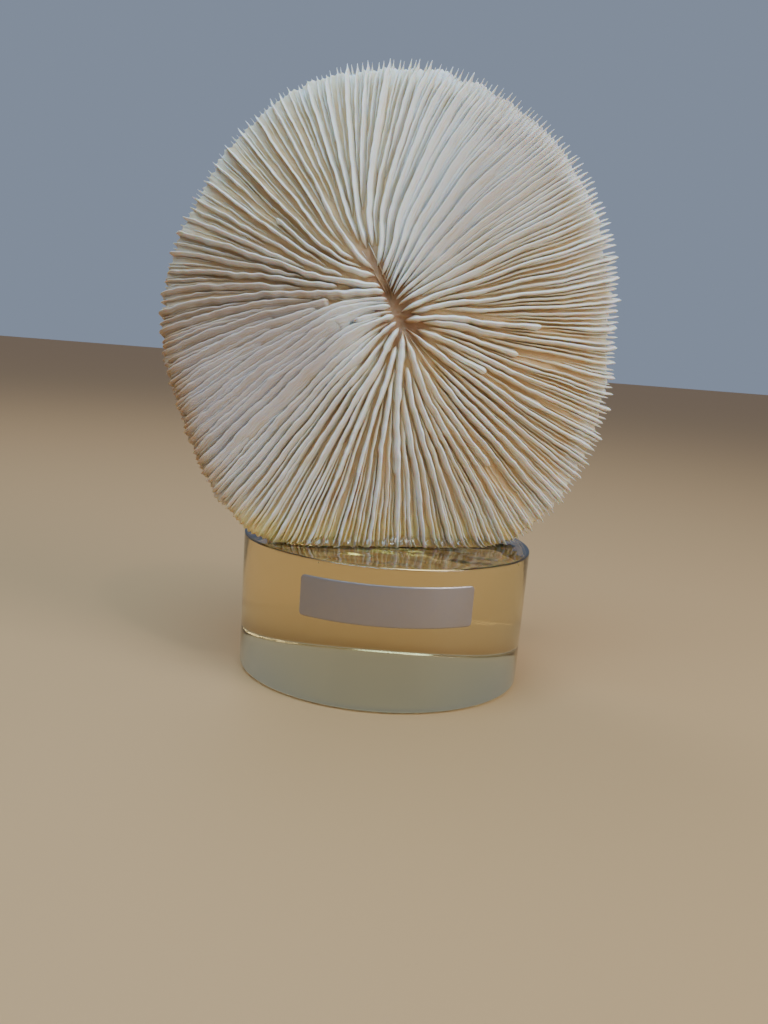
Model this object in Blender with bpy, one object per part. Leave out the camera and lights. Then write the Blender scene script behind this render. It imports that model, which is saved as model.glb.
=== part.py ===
"""Mushroom coral standing on edge in a round block of clear resin.

The coral is one grown piece: a disc of radiating septa around a slit-shaped mouth, with ribs
(costae) on its back. Its lowest rim sits in a pocket in the top of the resin block, and a foil
label is stuck to the front of the block. The front faces -Y, up is +Z, and the origin is the
centre of the block's underside. Lengths are in metres and angles in degrees.
"""

import math
import random

import bmesh
import bpy
from mathutils import Matrix, Vector

# Resin block
BLOCK_HEIGHT = 0.0373
BLOCK_TOP_RADIUS = 0.0400
BLOCK_BOTTOM_RADIUS = 0.0395
BLOCK_TOP_ROUNDING = 0.0005
BLOCK_BOTTOM_ROUNDING = 0.0012
BLOCK_SIDES = 96

# Foil label
LABEL_WIDTH = 0.0455
LABEL_HEIGHT = 0.0106
LABEL_THICKNESS = 0.0002
LABEL_CENTRE_HEIGHT = 0.0277
LABEL_TURN = 1.5
LABEL_STEPS = 24

# Place of the coral disc: its centre, how far its face turns to +X and how far it leans back
DISC_CENTRE = Vector((-0.0031, -0.0120, 0.0980))
DISC_TURN = 2.0
DISC_LEAN = 5.0

# Outline of the disc: its radius at every 30 degrees, counted from its right hand side upwards
RIM_RADII = (0.0630, 0.0619, 0.0630, 0.0670, 0.0692, 0.0650, 0.0632, 0.0620, 0.0678, 0.0667, 0.0712, 0.0693)

# Warp of the disc: a low dome and a saddle whose high ridge runs along one diagonal
DOME_DROP = 0.0080
SADDLE_RISE = 0.0120
RIDGE_ANGLE = 54.0

# Mouth: a slit from which the septa spread
SLIT_ANGLE = 134.0
SLIT_OFFSET = 0.0065
SLIT_HALF_LENGTH = 0.0085
SLIT_END_SHARPNESS = 0.25
MOUTH_DEPTH = 0.0060
MOUTH_REACH = 0.0055

# Septa: crest height over the warped mid surface, and how deep the grooves between them are
CREST_HEIGHT = 0.0036
CREST_RIM_DROP = 0.0028
GROOVE_DEPTH = 0.0038
TIP_LENGTH = 0.0030
TIP_DROP = 0.0010
RIDGE_COUNT = 112

# A young ridge starts with this share of its height and gains the rest over this share of the reach
YOUNG_SHARE = 0.30
GROWING_REACH = 0.25

# Back of the disc, with its ribs
BACK_CENTRE_DEPTH = 0.0120
BACK_RIM_DEPTH = 0.0028
RIB_HEIGHT = 0.0005

# Gap left between pieces that touch
GAP = 0.0003
POCKET_GAP = 0.0006

# Rings of the front, from the mouth outwards: ridges in the zone, and each ring's share of the reach
FRONT_ZONES = (
    (RIDGE_COUNT // 4, (0.04, 0.07, 0.11, 0.16, 0.21)),
    (RIDGE_COUNT // 2, (0.27, 0.34, 0.42, 0.50)),
    (RIDGE_COUNT, (0.58, 0.67, 0.76, 0.85, 0.92, 0.965)),
)
BACK_ZONES = (
    (RIDGE_COUNT, (0.965, 0.90, 0.80)),
    (RIDGE_COUNT // 2, (0.65, 0.45)),
    (RIDGE_COUNT // 4, (0.25, 0.12)),
)

SEED = 7


def clear_scene():
    """Remove everything the file holds."""
    for obj in list(bpy.data.objects):
        bpy.data.objects.remove(obj, do_unlink=True)


def make_material(name, color, roughness, metallic=0.0, transmission=0.0, ior=1.45):
    """Return a Principled material with the given finish."""
    material = bpy.data.materials.new(name)
    material.use_nodes = True
    shader = material.node_tree.nodes["Principled BSDF"]
    shader.inputs["Base Color"].default_value = (*color, 1.0)
    shader.inputs["Roughness"].default_value = roughness
    shader.inputs["Metallic"].default_value = metallic
    shader.inputs["Transmission Weight"].default_value = transmission
    shader.inputs["IOR"].default_value = ior
    return material


def make_object(name, bm, material, smooth_angle=30.0):
    """Turn a bmesh into a named object with faces pointing out."""
    bmesh.ops.recalc_face_normals(bm, faces=bm.faces)
    mesh = bpy.data.meshes.new(name)
    bm.to_mesh(mesh)
    bm.free()
    mesh.shade_smooth()
    mesh.set_sharp_from_angle(angle=math.radians(smooth_angle))
    mesh.materials.append(material)
    obj = bpy.data.objects.new(name, mesh)
    bpy.context.scene.collection.objects.link(obj)
    return obj


# Shape of the coral disc

def rim_radius(azimuth):
    """Radius of the outline at an azimuth in radians, smooth through the driving radii."""
    step = 2.0 * math.pi / len(RIM_RADII)
    place = (azimuth % (2.0 * math.pi)) / step
    index = int(place)
    share = place - index
    before, start, end, after = (RIM_RADII[(index + shift) % len(RIM_RADII)] for shift in (-1, 0, 1, 2))
    slope_start = (end - before) / 2.0
    slope_end = (after - start) / 2.0
    square = share * share
    cube = square * share
    return (
        (2.0 * cube - 3.0 * square + 1.0) * start
        + (cube - 2.0 * square + share) * slope_start
        + (3.0 * square - 2.0 * cube) * end
        + (cube - square) * slope_end
    )


def slit_source(direction):
    """Point on the mouth's slit from which a septum with this direction starts."""
    slit = math.radians(SLIT_ANGLE)
    along = math.cos(direction - slit)
    share = along / math.sqrt(along * along + SLIT_END_SHARPNESS * SLIT_END_SHARPNESS)
    distance = SLIT_OFFSET + SLIT_HALF_LENGTH * share
    return Vector((math.cos(slit), math.sin(slit))) * distance


def ray_point(direction, distance):
    """Point in the disc's plane at a distance from the slit along one septum."""
    return slit_source(direction) + Vector((math.cos(direction), math.sin(direction))) * distance


def ray_reach(direction):
    """Distance from the slit at which a septum meets the outline."""
    low, high = 0.02, 0.10
    for _ in range(40):
        middle = (low + high) / 2.0
        point = ray_point(direction, middle)
        if point.length < rim_radius(math.atan2(point.y, point.x)):
            low = middle
        else:
            high = middle
    return low


def warp_height(point):
    """Height of the warped mid surface towards the front, over the disc's flat plane."""
    azimuth = math.atan2(point.y, point.x)
    share = (point.length / rim_radius(azimuth)) ** 2
    saddle = SADDLE_RISE * math.cos(2.0 * (azimuth - math.radians(RIDGE_ANGLE)))
    return share * (saddle - DOME_DROP)


def crest_height(distance, share):
    """Height of the septa's crests over the mid surface, sinking into the mouth and at the rim."""
    mouth = math.exp(-((distance / MOUTH_REACH) ** 2))
    return CREST_HEIGHT - (CREST_HEIGHT + MOUTH_DEPTH) * mouth - CREST_RIM_DROP * share ** 4


def groove_depth(distance, share):
    """Depth of the grooves between the septa."""
    near_mouth = 1.0 - math.exp(-((distance / MOUTH_REACH) ** 2))
    return GROOVE_DEPTH * (0.25 + 0.75 * near_mouth) * (1.0 - 0.35 * share ** 4)


def back_height(share):
    """Height of the disc's back, which is thick at the middle and thin at the rim."""
    return -BACK_CENTRE_DEPTH + (BACK_CENTRE_DEPTH - BACK_RIM_DEPTH) * share ** 2


def disc_basis():
    """Return the disc's right, up and front directions in the world."""
    turn = math.radians(DISC_TURN)
    lean = math.radians(DISC_LEAN)
    front = Vector((math.sin(turn) * math.cos(lean), -math.cos(turn) * math.cos(lean), math.sin(lean)))
    right = Vector((math.cos(turn), math.sin(turn), 0.0))
    return right, front.cross(right), front


def place_on_disc(basis, direction, distance, height):
    """World point at a distance along one septum and a height over the warped mid surface."""
    right, up, front = basis
    point = ray_point(direction, distance)
    level = warp_height(point) + height
    return DISC_CENTRE + right * point.x + up * point.y + front * level


def spread_directions(count):
    """Directions of the septa, spaced evenly along the rim."""
    samples = 1440
    fine = [2.0 * math.pi * index / samples for index in range(samples + 1)]
    rim = [ray_point(direction, ray_reach(direction)) for direction in fine]
    travelled = [0.0]
    for start, end in zip(rim, rim[1:]):
        travelled.append(travelled[-1] + (end - start).length)
    directions = []
    position = 0
    for index in range(count):
        wanted = travelled[-1] * index / count
        while travelled[position + 1] < wanted:
            position += 1
        span = travelled[position + 1] - travelled[position]
        share = (wanted - travelled[position]) / span
        directions.append(fine[position] + share * (fine[position + 1] - fine[position]))
    return directions


class Column:
    """One line of points from the mouth to the rim: a septum's crest or the groove beside it."""

    def __init__(self, direction, is_crest, order, rng):
        """Store the line's direction and its own small irregularities."""
        self.direction = direction
        self.is_crest = is_crest
        self.order = order
        self.reach = ray_reach(direction)
        self.tip = rng.uniform(-0.012, 0.012)
        self.lift = rng.uniform(-0.0004, 0.0004)

    def front_height(self, share, is_ridge):
        """Height of the line on the front; young septa rise slowly out of their groove."""
        distance = share * self.reach
        crest = crest_height(distance, share)
        groove = crest - groove_depth(distance, share)
        if not is_ridge:
            return groove
        start = FRONT_ZONES[self.order][1][0] if self.order else -GROWING_REACH
        age = min(1.0, (share - start) / GROWING_REACH)
        grown = YOUNG_SHARE + (1.0 - YOUNG_SHARE) * age
        return groove + (crest + self.lift - groove) * grown

    def back_height(self, share):
        """Height of the line on the back, where a rib runs under each crest."""
        rib = -RIB_HEIGHT if self.is_crest else RIB_HEIGHT
        return back_height(share) + rib * min(1.0, share * 2.0)


def make_columns():
    """Crest and groove lines in turn, all around the mouth."""
    rng = random.Random(SEED)
    directions = spread_directions(2 * RIDGE_COUNT)
    columns = []
    for index, direction in enumerate(directions):
        is_crest = index % 2 == 0
        order = 0 if index % 8 == 0 else 1 if index % 4 == 0 else 2
        columns.append(Column(direction, is_crest, order, rng))
    return columns


def add_ring(bm, basis, columns, share, height_of):
    """Add one closed ring of points and return it."""
    ring = []
    for column in columns:
        point = place_on_disc(basis, column.direction, share * column.reach, height_of(column))
        ring.append(bm.verts.new(point))
    return ring


def join_rings(bm, first, second):
    """Fill between two rings of equal size, or where one has twice the points of the other."""
    if len(first) == len(second):
        for index in range(len(first)):
            after = (index + 1) % len(first)
            bm.faces.new((first[index], first[after], second[after], second[index]))
        return
    small, large = (first, second) if len(first) < len(second) else (second, first)
    for index in range(len(small)):
        after = (index + 1) % len(small)
        left, middle, right = (large[(2 * index + shift) % len(large)] for shift in range(3))
        bm.faces.new((small[index], left, middle))
        bm.faces.new((small[index], middle, small[after]))
        bm.faces.new((small[after], middle, right))


def close_ring(bm, ring, point):
    """Close a ring with a fan around one point."""
    centre = bm.verts.new(point)
    for index in range(len(ring)):
        bm.faces.new((ring[index], ring[(index + 1) % len(ring)], centre))


def zone_columns(columns, ridges):
    """Every second, fourth or eighth line: the ones that exist in a zone with fewer ridges."""
    step = len(columns) // (2 * ridges)
    return columns[::step]


def make_coral(material):
    """The coral, one closed body with radiating septa in front and ribs on its back."""
    basis = disc_basis()
    columns = make_columns()
    bm = bmesh.new()
    rings = []
    for ridges, shares in FRONT_ZONES:
        members = zone_columns(columns, ridges)
        for share in shares:
            ring = []
            for index, column in enumerate(members):
                height = column.front_height(share, index % 2 == 0)
                reach = share * column.reach
                ring.append(bm.verts.new(place_on_disc(basis, column.direction, reach, height)))
            rings.append(ring)
    tips = []
    for column in columns:
        reach = column.reach * (1.0 + column.tip) if column.is_crest else column.reach - TIP_LENGTH
        height = -TIP_DROP
        tips.append(bm.verts.new(place_on_disc(basis, column.direction, reach, height)))
    rings.append(tips)
    for ridges, shares in BACK_ZONES:
        members = zone_columns(columns, ridges)
        for share in shares:
            rings.append(add_ring(bm, basis, members, share, lambda column: column.back_height(share)))
    for first, second in zip(rings, rings[1:]):
        join_rings(bm, first, second)
    slit = math.radians(SLIT_ANGLE)
    middle = Vector((math.cos(slit), math.sin(slit))) * SLIT_OFFSET
    right, up, front = basis
    middle_point = DISC_CENTRE + right * middle.x + up * middle.y
    depth = MOUTH_DEPTH + groove_depth(0.0, 0.0)
    close_ring(bm, rings[0], middle_point + front * (warp_height(middle) - depth))
    close_ring(bm, rings[-1], middle_point + front * (warp_height(middle) + back_height(0.0)))
    bmesh.ops.triangulate(bm, faces=bm.faces)
    return make_object("coral", bm, material, smooth_angle=20.0)


def make_pocket_cutter():
    """Body that encloses the coral's lower part with a small gap, to cut its pocket."""
    basis = disc_basis()
    columns = zone_columns(make_columns(), RIDGE_COUNT // 2)
    margin = POCKET_GAP
    rings = []
    bm = bmesh.new()

    def ring_at(share, extra, height):
        ring = []
        for column in columns:
            reach = share * column.reach + extra
            ring.append(bm.verts.new(place_on_disc(basis, column.direction, reach, height(column, share))))
        rings.append(ring)

    def over_crest(column, share):
        return crest_height(share * column.reach, share) + margin

    def under_back(column, share):
        return back_height(share) - RIB_HEIGHT - margin

    for share in (0.5, 0.67, 0.76, 0.85, 0.92, 0.965):
        ring_at(share, 0.0, over_crest)
    ring_at(1.012, margin, lambda column, share: -TIP_DROP + margin)
    ring_at(1.012, margin, lambda column, share: -TIP_DROP - margin)
    for share in (0.965, 0.90, 0.80, 0.65, 0.5):
        ring_at(share, 0.0, under_back)
    for first, second in zip(rings, rings[1:]):
        join_rings(bm, first, second)
    right, up, front = basis
    close_ring(bm, rings[0], DISC_CENTRE + front * CREST_HEIGHT)
    close_ring(bm, rings[-1], DISC_CENTRE - front * BACK_CENTRE_DEPTH)
    bmesh.ops.triangulate(bm, faces=bm.faces)
    cutter = make_object("pocket_cutter", bm, make_material("cutter", (1.0, 0.2, 0.2), 0.5))
    cutter.hide_render = True
    cutter.display_type = "WIRE"
    return cutter


def make_resin_base(material):
    """The block: a turned body with a slight taper, rounded edges and the coral's pocket."""
    outline = [(0.0, 0.0)]
    for step in range(4):
        angle = math.radians(90.0 * step / 3.0)
        outline.append(
            (
                BLOCK_BOTTOM_RADIUS - BLOCK_BOTTOM_ROUNDING * (1.0 - math.sin(angle)),
                BLOCK_BOTTOM_ROUNDING * (1.0 - math.cos(angle)),
            )
        )
    for step in range(3):
        angle = math.radians(90.0 * step / 2.0)
        outline.append(
            (
                BLOCK_TOP_RADIUS - BLOCK_TOP_ROUNDING * (1.0 - math.cos(angle)),
                BLOCK_HEIGHT - BLOCK_TOP_ROUNDING * (1.0 - math.sin(angle)),
            )
        )
    outline.append((0.0, BLOCK_HEIGHT))
    bm = bmesh.new()
    verts = [bm.verts.new((radius, 0.0, height)) for radius, height in outline]
    edges = [bm.edges.new(pair) for pair in zip(verts, verts[1:])]
    bmesh.ops.spin(
        bm,
        geom=verts + edges,
        cent=(0.0, 0.0, 0.0),
        axis=(0.0, 0.0, 1.0),
        angle=2.0 * math.pi,
        steps=BLOCK_SIDES,
        use_merge=True,
    )
    bmesh.ops.remove_doubles(bm, verts=bm.verts, dist=1e-6)
    block = make_object("resin_base", bm, material)
    boolean = block.modifiers.new("pocket", "BOOLEAN")
    boolean.operation = "DIFFERENCE"
    boolean.solver = "EXACT"
    boolean.object = make_pocket_cutter()
    return block


def wall_radius(height):
    """Radius of the block's tapered wall at a height."""
    return BLOCK_BOTTOM_RADIUS + (BLOCK_TOP_RADIUS - BLOCK_BOTTOM_RADIUS) * height / BLOCK_HEIGHT


def make_label(material):
    """The foil label, a thin plate bent around the front of the block."""
    bm = bmesh.new()
    half_angle = LABEL_WIDTH / (2.0 * BLOCK_TOP_RADIUS)
    low = LABEL_CENTRE_HEIGHT - LABEL_HEIGHT / 2.0
    high = LABEL_CENTRE_HEIGHT + LABEL_HEIGHT / 2.0
    sections = []
    for step in range(LABEL_STEPS + 1):
        angle = half_angle * (2.0 * step / LABEL_STEPS - 1.0)
        turn = Matrix.Rotation(angle + math.radians(LABEL_TURN), 3, "Z")
        section = []
        for height, lift in ((low, 0.0), (high, 0.0), (high, LABEL_THICKNESS), (low, LABEL_THICKNESS)):
            radius = wall_radius(height) + GAP + lift
            section.append(bm.verts.new(turn @ Vector((0.0, -radius, height))))
        sections.append(section)
    for first, second in zip(sections, sections[1:]):
        for index in range(4):
            after = (index + 1) % 4
            bm.faces.new((first[index], first[after], second[after], second[index]))
    bm.faces.new(sections[0])
    bm.faces.new(reversed(sections[-1]))
    return make_object("label", bm, material)


def main():
    """Build the three pieces."""
    clear_scene()
    coral_skeleton = make_material("coral_skeleton", (0.78, 0.73, 0.64), 0.7)
    amber_resin = make_material("amber_resin", (0.85, 0.72, 0.40), 0.05, transmission=1.0, ior=1.55)
    silver_foil = make_material("silver_foil", (0.55, 0.53, 0.55), 0.4, metallic=0.8)
    make_coral(coral_skeleton)
    make_resin_base(amber_resin)
    make_label(silver_foil)


main()
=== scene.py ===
"""Looks of a mushroom coral that stands on edge in a round block of clear amber resin.

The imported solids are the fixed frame. The coral's fine septa, plate and back spines, the resin
with its meniscus and the foil label are modelled here in the same place and at the same size.
Lengths are in millimetres until a mesh is made, and in metres in the row's frame.

A Table goes around the disc in even steps. It starts at the right hand side and runs upwards.
"""

from __future__ import annotations

import logging
import math
from dataclasses import dataclass, field
from enum import Enum

import bpy
import numpy as np
from mathutils import Matrix, Vector

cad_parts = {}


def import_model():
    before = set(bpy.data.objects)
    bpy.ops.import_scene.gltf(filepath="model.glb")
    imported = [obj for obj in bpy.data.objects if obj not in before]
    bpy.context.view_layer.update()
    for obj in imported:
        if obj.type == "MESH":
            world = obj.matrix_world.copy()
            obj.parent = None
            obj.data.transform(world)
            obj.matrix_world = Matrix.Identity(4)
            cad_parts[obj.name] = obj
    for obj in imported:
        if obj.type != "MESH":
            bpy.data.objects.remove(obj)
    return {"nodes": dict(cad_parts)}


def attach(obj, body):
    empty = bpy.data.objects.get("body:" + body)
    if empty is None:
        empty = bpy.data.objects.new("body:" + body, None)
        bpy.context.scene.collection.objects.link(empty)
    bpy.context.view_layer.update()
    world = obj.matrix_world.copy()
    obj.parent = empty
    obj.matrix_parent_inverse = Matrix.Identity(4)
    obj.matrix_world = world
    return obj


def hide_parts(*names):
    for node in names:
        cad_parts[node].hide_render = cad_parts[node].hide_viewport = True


LOG = logging.getLogger("mushroom_coral")
MM = 0.001
TAU = 2.0 * math.pi
COURSE_STEP = 0.5

Table = tuple[float, ...]
Pair = tuple[float, float]
Triple = tuple[float, float, float]
Line = tuple[Pair, ...]


def rise(value: np.ndarray, low: float, high: float) -> np.ndarray:
    """Rise smoothly from 0 at low to 1 at high.

    Args:
        value: numbers to map.
        low: where the rise starts.
        high: where the rise ends.

    Returns:
        The mapped numbers, from 0 to 1.
    """
    share = np.clip((value - low) / (high - low), 0.0, 1.0)
    return share * share * (3.0 - 2.0 * share)


def quarter(share: np.ndarray) -> np.ndarray:
    """Rise from 0 to 1 like a quarter of a circle, steep at first and then level."""
    return np.sqrt(1.0 - (1.0 - share) ** 2)


def unit(vectors: np.ndarray) -> np.ndarray:
    """Scale vectors along the last axis to unit length."""
    return vectors / np.linalg.norm(vectors, axis=-1, keepdims=True)


def curve(
    start: np.ndarray, leaving: np.ndarray, end: np.ndarray, arriving: np.ndarray, share: np.ndarray
) -> np.ndarray:
    """Run smoothly from one value to the next with a given slope at each.

    Args:
        start: the first value.
        leaving: the slope at the first value.
        end: the second value.
        arriving: the slope at the second value.
        share: share of the way between them.

    Returns:
        The values on the way.
    """
    square = share * share
    cube = square * share
    return (
        (2.0 * cube - 3.0 * square + 1.0) * start
        + (cube - 2.0 * square + share) * leaving
        + (3.0 * square - 2.0 * cube) * end
        + (cube - square) * arriving
    )


def around(values: Table, azimuth: np.ndarray | float) -> np.ndarray:
    """Read a smooth closed curve that is given at even steps around the disc.

    Args:
        values: the curve's values, the first at azimuth 0.
        azimuth: angles in radians.

    Returns:
        The curve's value at each angle.
    """
    table = np.array(values)
    place = (np.asarray(azimuth) % TAU) * len(table) / TAU
    index = np.floor(place).astype(int)
    before, start, end, after = (table[(index + shift) % len(table)] for shift in (-1, 0, 1, 2))
    return curve(start, (end - before) / 2.0, end, (after - start) / 2.0, place - index)


def travelled(points: np.ndarray) -> np.ndarray:
    """Length of a line of points from its start to each point."""
    return np.concatenate(([0.0], np.cumsum(np.hypot(*np.diff(points, axis=0).T))))


def read_line(points: np.ndarray, lengths: np.ndarray, at: np.ndarray | float) -> np.ndarray:
    """Places on a line of points at distances from its start."""
    return np.stack([np.interp(at, lengths, points[:, side]) for side in (0, 1)], -1)


def smooth_path(nodes: np.ndarray) -> np.ndarray:
    """Lay a smooth path through nodes and divide it into even steps.

    Args:
        nodes: one row of two coordinates per node.

    Returns:
        The path's points.
    """
    chords = np.hypot(*np.diff(nodes, axis=0).T)
    slopes = np.diff(nodes, axis=0) / chords[:, None]
    before, after = chords[:-1, None], chords[1:, None]
    inner = (slopes[:-1] * after + slopes[1:] * before) / (before + after)
    first = 1.5 * slopes[:1] - 0.5 * inner[:1]
    last = 1.5 * slopes[-1:] - 0.5 * inner[-1:]
    tangents = np.concatenate((first, inner, last))
    share = np.linspace(0.0, 1.0, 40, endpoint=False)[:, None]
    pieces = [
        curve(nodes[index], tangents[index] * chord, nodes[index + 1], tangents[index + 1] * chord, share)
        for index, chord in enumerate(chords)
    ]
    fine = np.concatenate((*pieces, nodes[-1:]))
    lengths = travelled(fine)
    steps = max(2, int(round(lengths[-1] / COURSE_STEP)) + 1)
    return read_line(fine, lengths, np.linspace(0.0, lengths[-1], steps))


def line_point(line: Line, place: float) -> np.ndarray:
    """Point of a bent line at a share of its length."""
    lengths = travelled(np.array(line))
    return read_line(np.array(line), lengths, place * lengths[-1])


def line_distance(point: np.ndarray, line: Line) -> tuple[np.ndarray, np.ndarray]:
    """Distance from points to a bent line.

    Args:
        point: right and up coordinates, last axis of size two.
        line: the line's corners.

    Returns:
        The distances, and each nearest place as a share of the line's length.
    """
    corners = np.array(line)
    lengths = np.hypot(*np.diff(corners, axis=0).T)
    best = np.full(point.shape[:-1], np.inf)
    place = np.zeros(point.shape[:-1])
    for index, length in enumerate(lengths):
        start = corners[index]
        way = (corners[index + 1] - start) / length
        along = np.clip((point - start) @ way, 0.0, length)
        off = point - start - along[..., None] * way
        distance = np.hypot(off[..., 0], off[..., 1])
        closer = distance < best
        best = np.where(closer, distance, best)
        place = np.where(closer, (lengths[:index].sum() + along) / lengths.sum(), place)
    return best, place


def trough(point: np.ndarray, line: Line, depth: float, width: float) -> tuple[np.ndarray, np.ndarray]:
    """Depth of a rounded trough along a bent line.

    Args:
        point: right and up coordinates.
        line: the trough's lowest line.
        depth: its depth on that line.
        width: how far to the side it fades.

    Returns:
        The depths, and each nearest place as a share of the line's length.
    """
    off, place = line_distance(point, line)
    return depth * np.exp(-((off / width) ** 2)), place


def closed_grid(rows: int, width: int) -> np.ndarray:
    """Triangles between rows of points that each close on themselves.

    Args:
        rows: number of rows.
        width: points in a row.

    Returns:
        Three point numbers per triangle.
    """
    row = np.arange(rows - 1)[:, None] * width
    column = np.arange(width)[None, :]
    after = (column + 1) % width
    corners = (row + column, row + after, row + width + after, row + width + column)
    quads = np.stack(corners, -1).reshape(-1, 4)
    return np.concatenate((quads[:, [0, 1, 2]], quads[:, [0, 2, 3]]))


def mesh_object(name: str, points: np.ndarray, faces: np.ndarray) -> bpy.types.Object:
    """Make a smooth mesh object from points and faces.

    Args:
        name: the piece's name.
        points: one row of three coordinates per point, in metres.
        faces: one row of three point numbers per face.

    Returns:
        The new object, at the origin.
    """
    mesh = bpy.data.meshes.new(name)
    mesh.vertices.add(len(points))
    mesh.vertices.foreach_set("co", points.astype(np.float32).ravel())
    mesh.loops.add(faces.size)
    mesh.loops.foreach_set("vertex_index", faces.astype(np.int32).ravel())
    mesh.polygons.add(len(faces))
    mesh.polygons.foreach_set("loop_start", np.arange(0, faces.size, 3, dtype=np.int32))
    mesh.update(calc_edges=True)
    mesh.validate()
    mesh.shade_smooth()
    piece = bpy.data.objects.new(name, mesh)
    bpy.context.scene.collection.objects.link(piece)
    return piece


@dataclass
class Waves:
    """Smooth repeatable unevenness on a plane, made of a few sine waves."""

    seed: int
    wavelength: float
    count: int = 7
    spread: float = 0.45
    directions: np.ndarray = field(init=False)
    phases: np.ndarray = field(init=False)

    def __post_init__(self) -> None:
        """Draw the waves."""
        rng = np.random.default_rng(self.seed)
        angles = rng.uniform(0.0, TAU, self.count)
        lengths = self.wavelength * np.exp(rng.normal(0.0, self.spread, self.count))
        self.directions = np.stack((np.cos(angles), np.sin(angles)), -1) * (TAU / lengths)[:, None]
        self.phases = rng.uniform(0.0, TAU, self.count)

    def __call__(self, point: np.ndarray) -> np.ndarray:
        """Unevenness of about unit size at each point."""
        return np.sin(point @ self.directions.T + self.phases).sum(-1) / math.sqrt(self.count / 2.0)


BACK_SWELL = Waves(11, 16.0)
SWELL_HEIGHT = 0.25


@dataclass
class DiscForm:
    """The coral disc's place, outline, warp and levels.

    The disc's own directions are right, up and front. pit, furrow and hollow are the lines along
    which the crests sink. A dip is a depth and a width, a stain is a strength and a width, and a
    range is where a change starts and where it is complete.
    """

    centre: Triple = (-3.1, -12.0, 98.0)
    turn: float = 2.0
    lean: float = 5.0
    radii: Table = (63.0, 61.9, 62.6, 66.6, 68.7, 64.9, 62.9, 61.8, 67.2, 66.7, 71.9, 69.7)
    dome_drop: float = 8.0
    saddle_rise: float = 12.0
    ridge_angle: float = 54.0
    crest: float = 3.6
    crest_rim_drop: float = 2.8
    groove_depths: Table = (3.4, 3.4, 3.4, 3.2, 2.5, 2.5, 2.8, 3.4, 3.4, 3.4, 3.4, 3.4)
    groove_rim_loss: float = 0.47
    back_centre: float = 12.0
    back_rim: float = 2.8
    lowest: float = 33.3
    edge_insets: Table = (3.4, 3.2, 2.6, 3.1, 2.4, 1.9, 1.4, 1.1, 1.2, 2.0, 2.4, 3.0)
    # painted shade: how far the skeleton is darkened towards the lower left, one strength per step around
    # the disc
    painted_shade: Table = (0.05, 0.12, 0.48, 0.1, 0.15, 0.3, 0.8, 1.0, 0.35, 0.05, 0.0, 0.05)
    pit: Line = ((-1.4, 5.2), (0.8, 1.4), (2.6, -2.2))
    furrow: Line = ((0.2, 2.6), (-2.2, 7.0), (-5.9, 12.6), (-9.8, 19.0))
    hollow: Line = ((3.6, -3.4), (8.0, -8.6), (18.8, -19.0))
    pit_dip: Pair = (3.8, 1.15)
    pit_floor_dip: Pair = (1.6, 2.4)
    furrow_dip: Pair = (2.6, 1.15)
    furrow_range: Pair = (0.80, 1.0)
    hollow_dip: Pair = (2.4, 1.5)
    hollow_range: Pair = (0.55, 1.0)
    groove_range: Pair = (4.0, 18.0)
    pit_stain: Pair = (1.0, 6.0)
    furrow_stain: Pair = (0.85, 3.2)
    painted_shade_range: Pair = (0.05, 0.4)

    def __post_init__(self) -> None:
        """Work out the disc's directions in the row's frame."""
        turn = math.radians(self.turn)
        lean = math.radians(self.lean)
        front = Vector((math.sin(turn) * math.cos(lean), -math.cos(turn) * math.cos(lean), math.sin(lean)))
        right = Vector((math.cos(turn), math.sin(turn), 0.0))
        self.axes = np.array((right, front.cross(right), front))

    def rim(self, azimuth: np.ndarray | float) -> np.ndarray:
        """Radius at which the coral ends, cut short where the resin holds its lowest part.

        Args:
            azimuth: angles in radians.

        Returns:
            One radius per angle.
        """
        azimuth = np.asarray(azimuth)
        fall = -(np.cos(azimuth) * self.axes[0, 2] + np.sin(azimuth) * self.axes[1, 2])
        limit = (self.centre[2] - self.lowest) / np.maximum(fall, 0.1)
        return np.minimum(around(self.radii, azimuth), limit)

    def share(self, point: np.ndarray) -> np.ndarray:
        """Share of the way from the disc's centre to its outline."""
        azimuth = np.arctan2(point[..., 1], point[..., 0])
        return np.hypot(point[..., 0], point[..., 1]) / around(self.radii, azimuth)

    def warp(self, point: np.ndarray) -> np.ndarray:
        """Height of the warped mid surface over the disc's flat plane.

        Args:
            point: right and up coordinates.

        Returns:
            One height per point.
        """
        azimuth = np.arctan2(point[..., 1], point[..., 0])
        saddle = self.saddle_rise * np.cos(2.0 * (azimuth - math.radians(self.ridge_angle)))
        return self.share(point) ** 2 * (saddle - self.dome_drop)

    def normal(self, point: np.ndarray) -> np.ndarray:
        """Direction at right angles to the warped mid surface, in the disc's own directions.

        Args:
            point: right and up coordinates.

        Returns:
            One unit vector per point.
        """
        step = 0.2
        slopes = [
            (self.warp(point + aside) - self.warp(point - aside)) / (2.0 * step)
            for aside in step * np.eye(2)
        ]
        return unit(np.stack((-slopes[0], -slopes[1], np.ones_like(slopes[0])), -1))

    def surface(self, point: np.ndarray, height: np.ndarray) -> np.ndarray:
        """Places at a height over the warped mid surface, in the disc's own directions."""
        base = np.concatenate((point, self.warp(point)[..., None]), -1)
        return base + self.normal(point) * height[..., None]

    def to_row(self, place: np.ndarray) -> np.ndarray:
        """Turn places in the disc's own directions into the row's frame, in metres."""
        return (np.array(self.centre) + place @ self.axes) * MM

    def sunk(self, point: np.ndarray) -> np.ndarray:
        """How far the crests sink in the mouth, in the furrow above it and in the hollow below.

        Args:
            point: right and up coordinates.

        Returns:
            Depths under the crests' common level.
        """
        furrow, place = trough(point, self.furrow, *self.furrow_dip)
        furrow = furrow * (1.0 - rise(place, *self.furrow_range))
        hollow, place = trough(point, self.hollow, *self.hollow_dip)
        hollow = hollow * (1.0 - rise(place, *self.hollow_range))
        return np.maximum(np.maximum(furrow, hollow), trough(point, self.pit, *self.pit_dip)[0])

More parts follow.
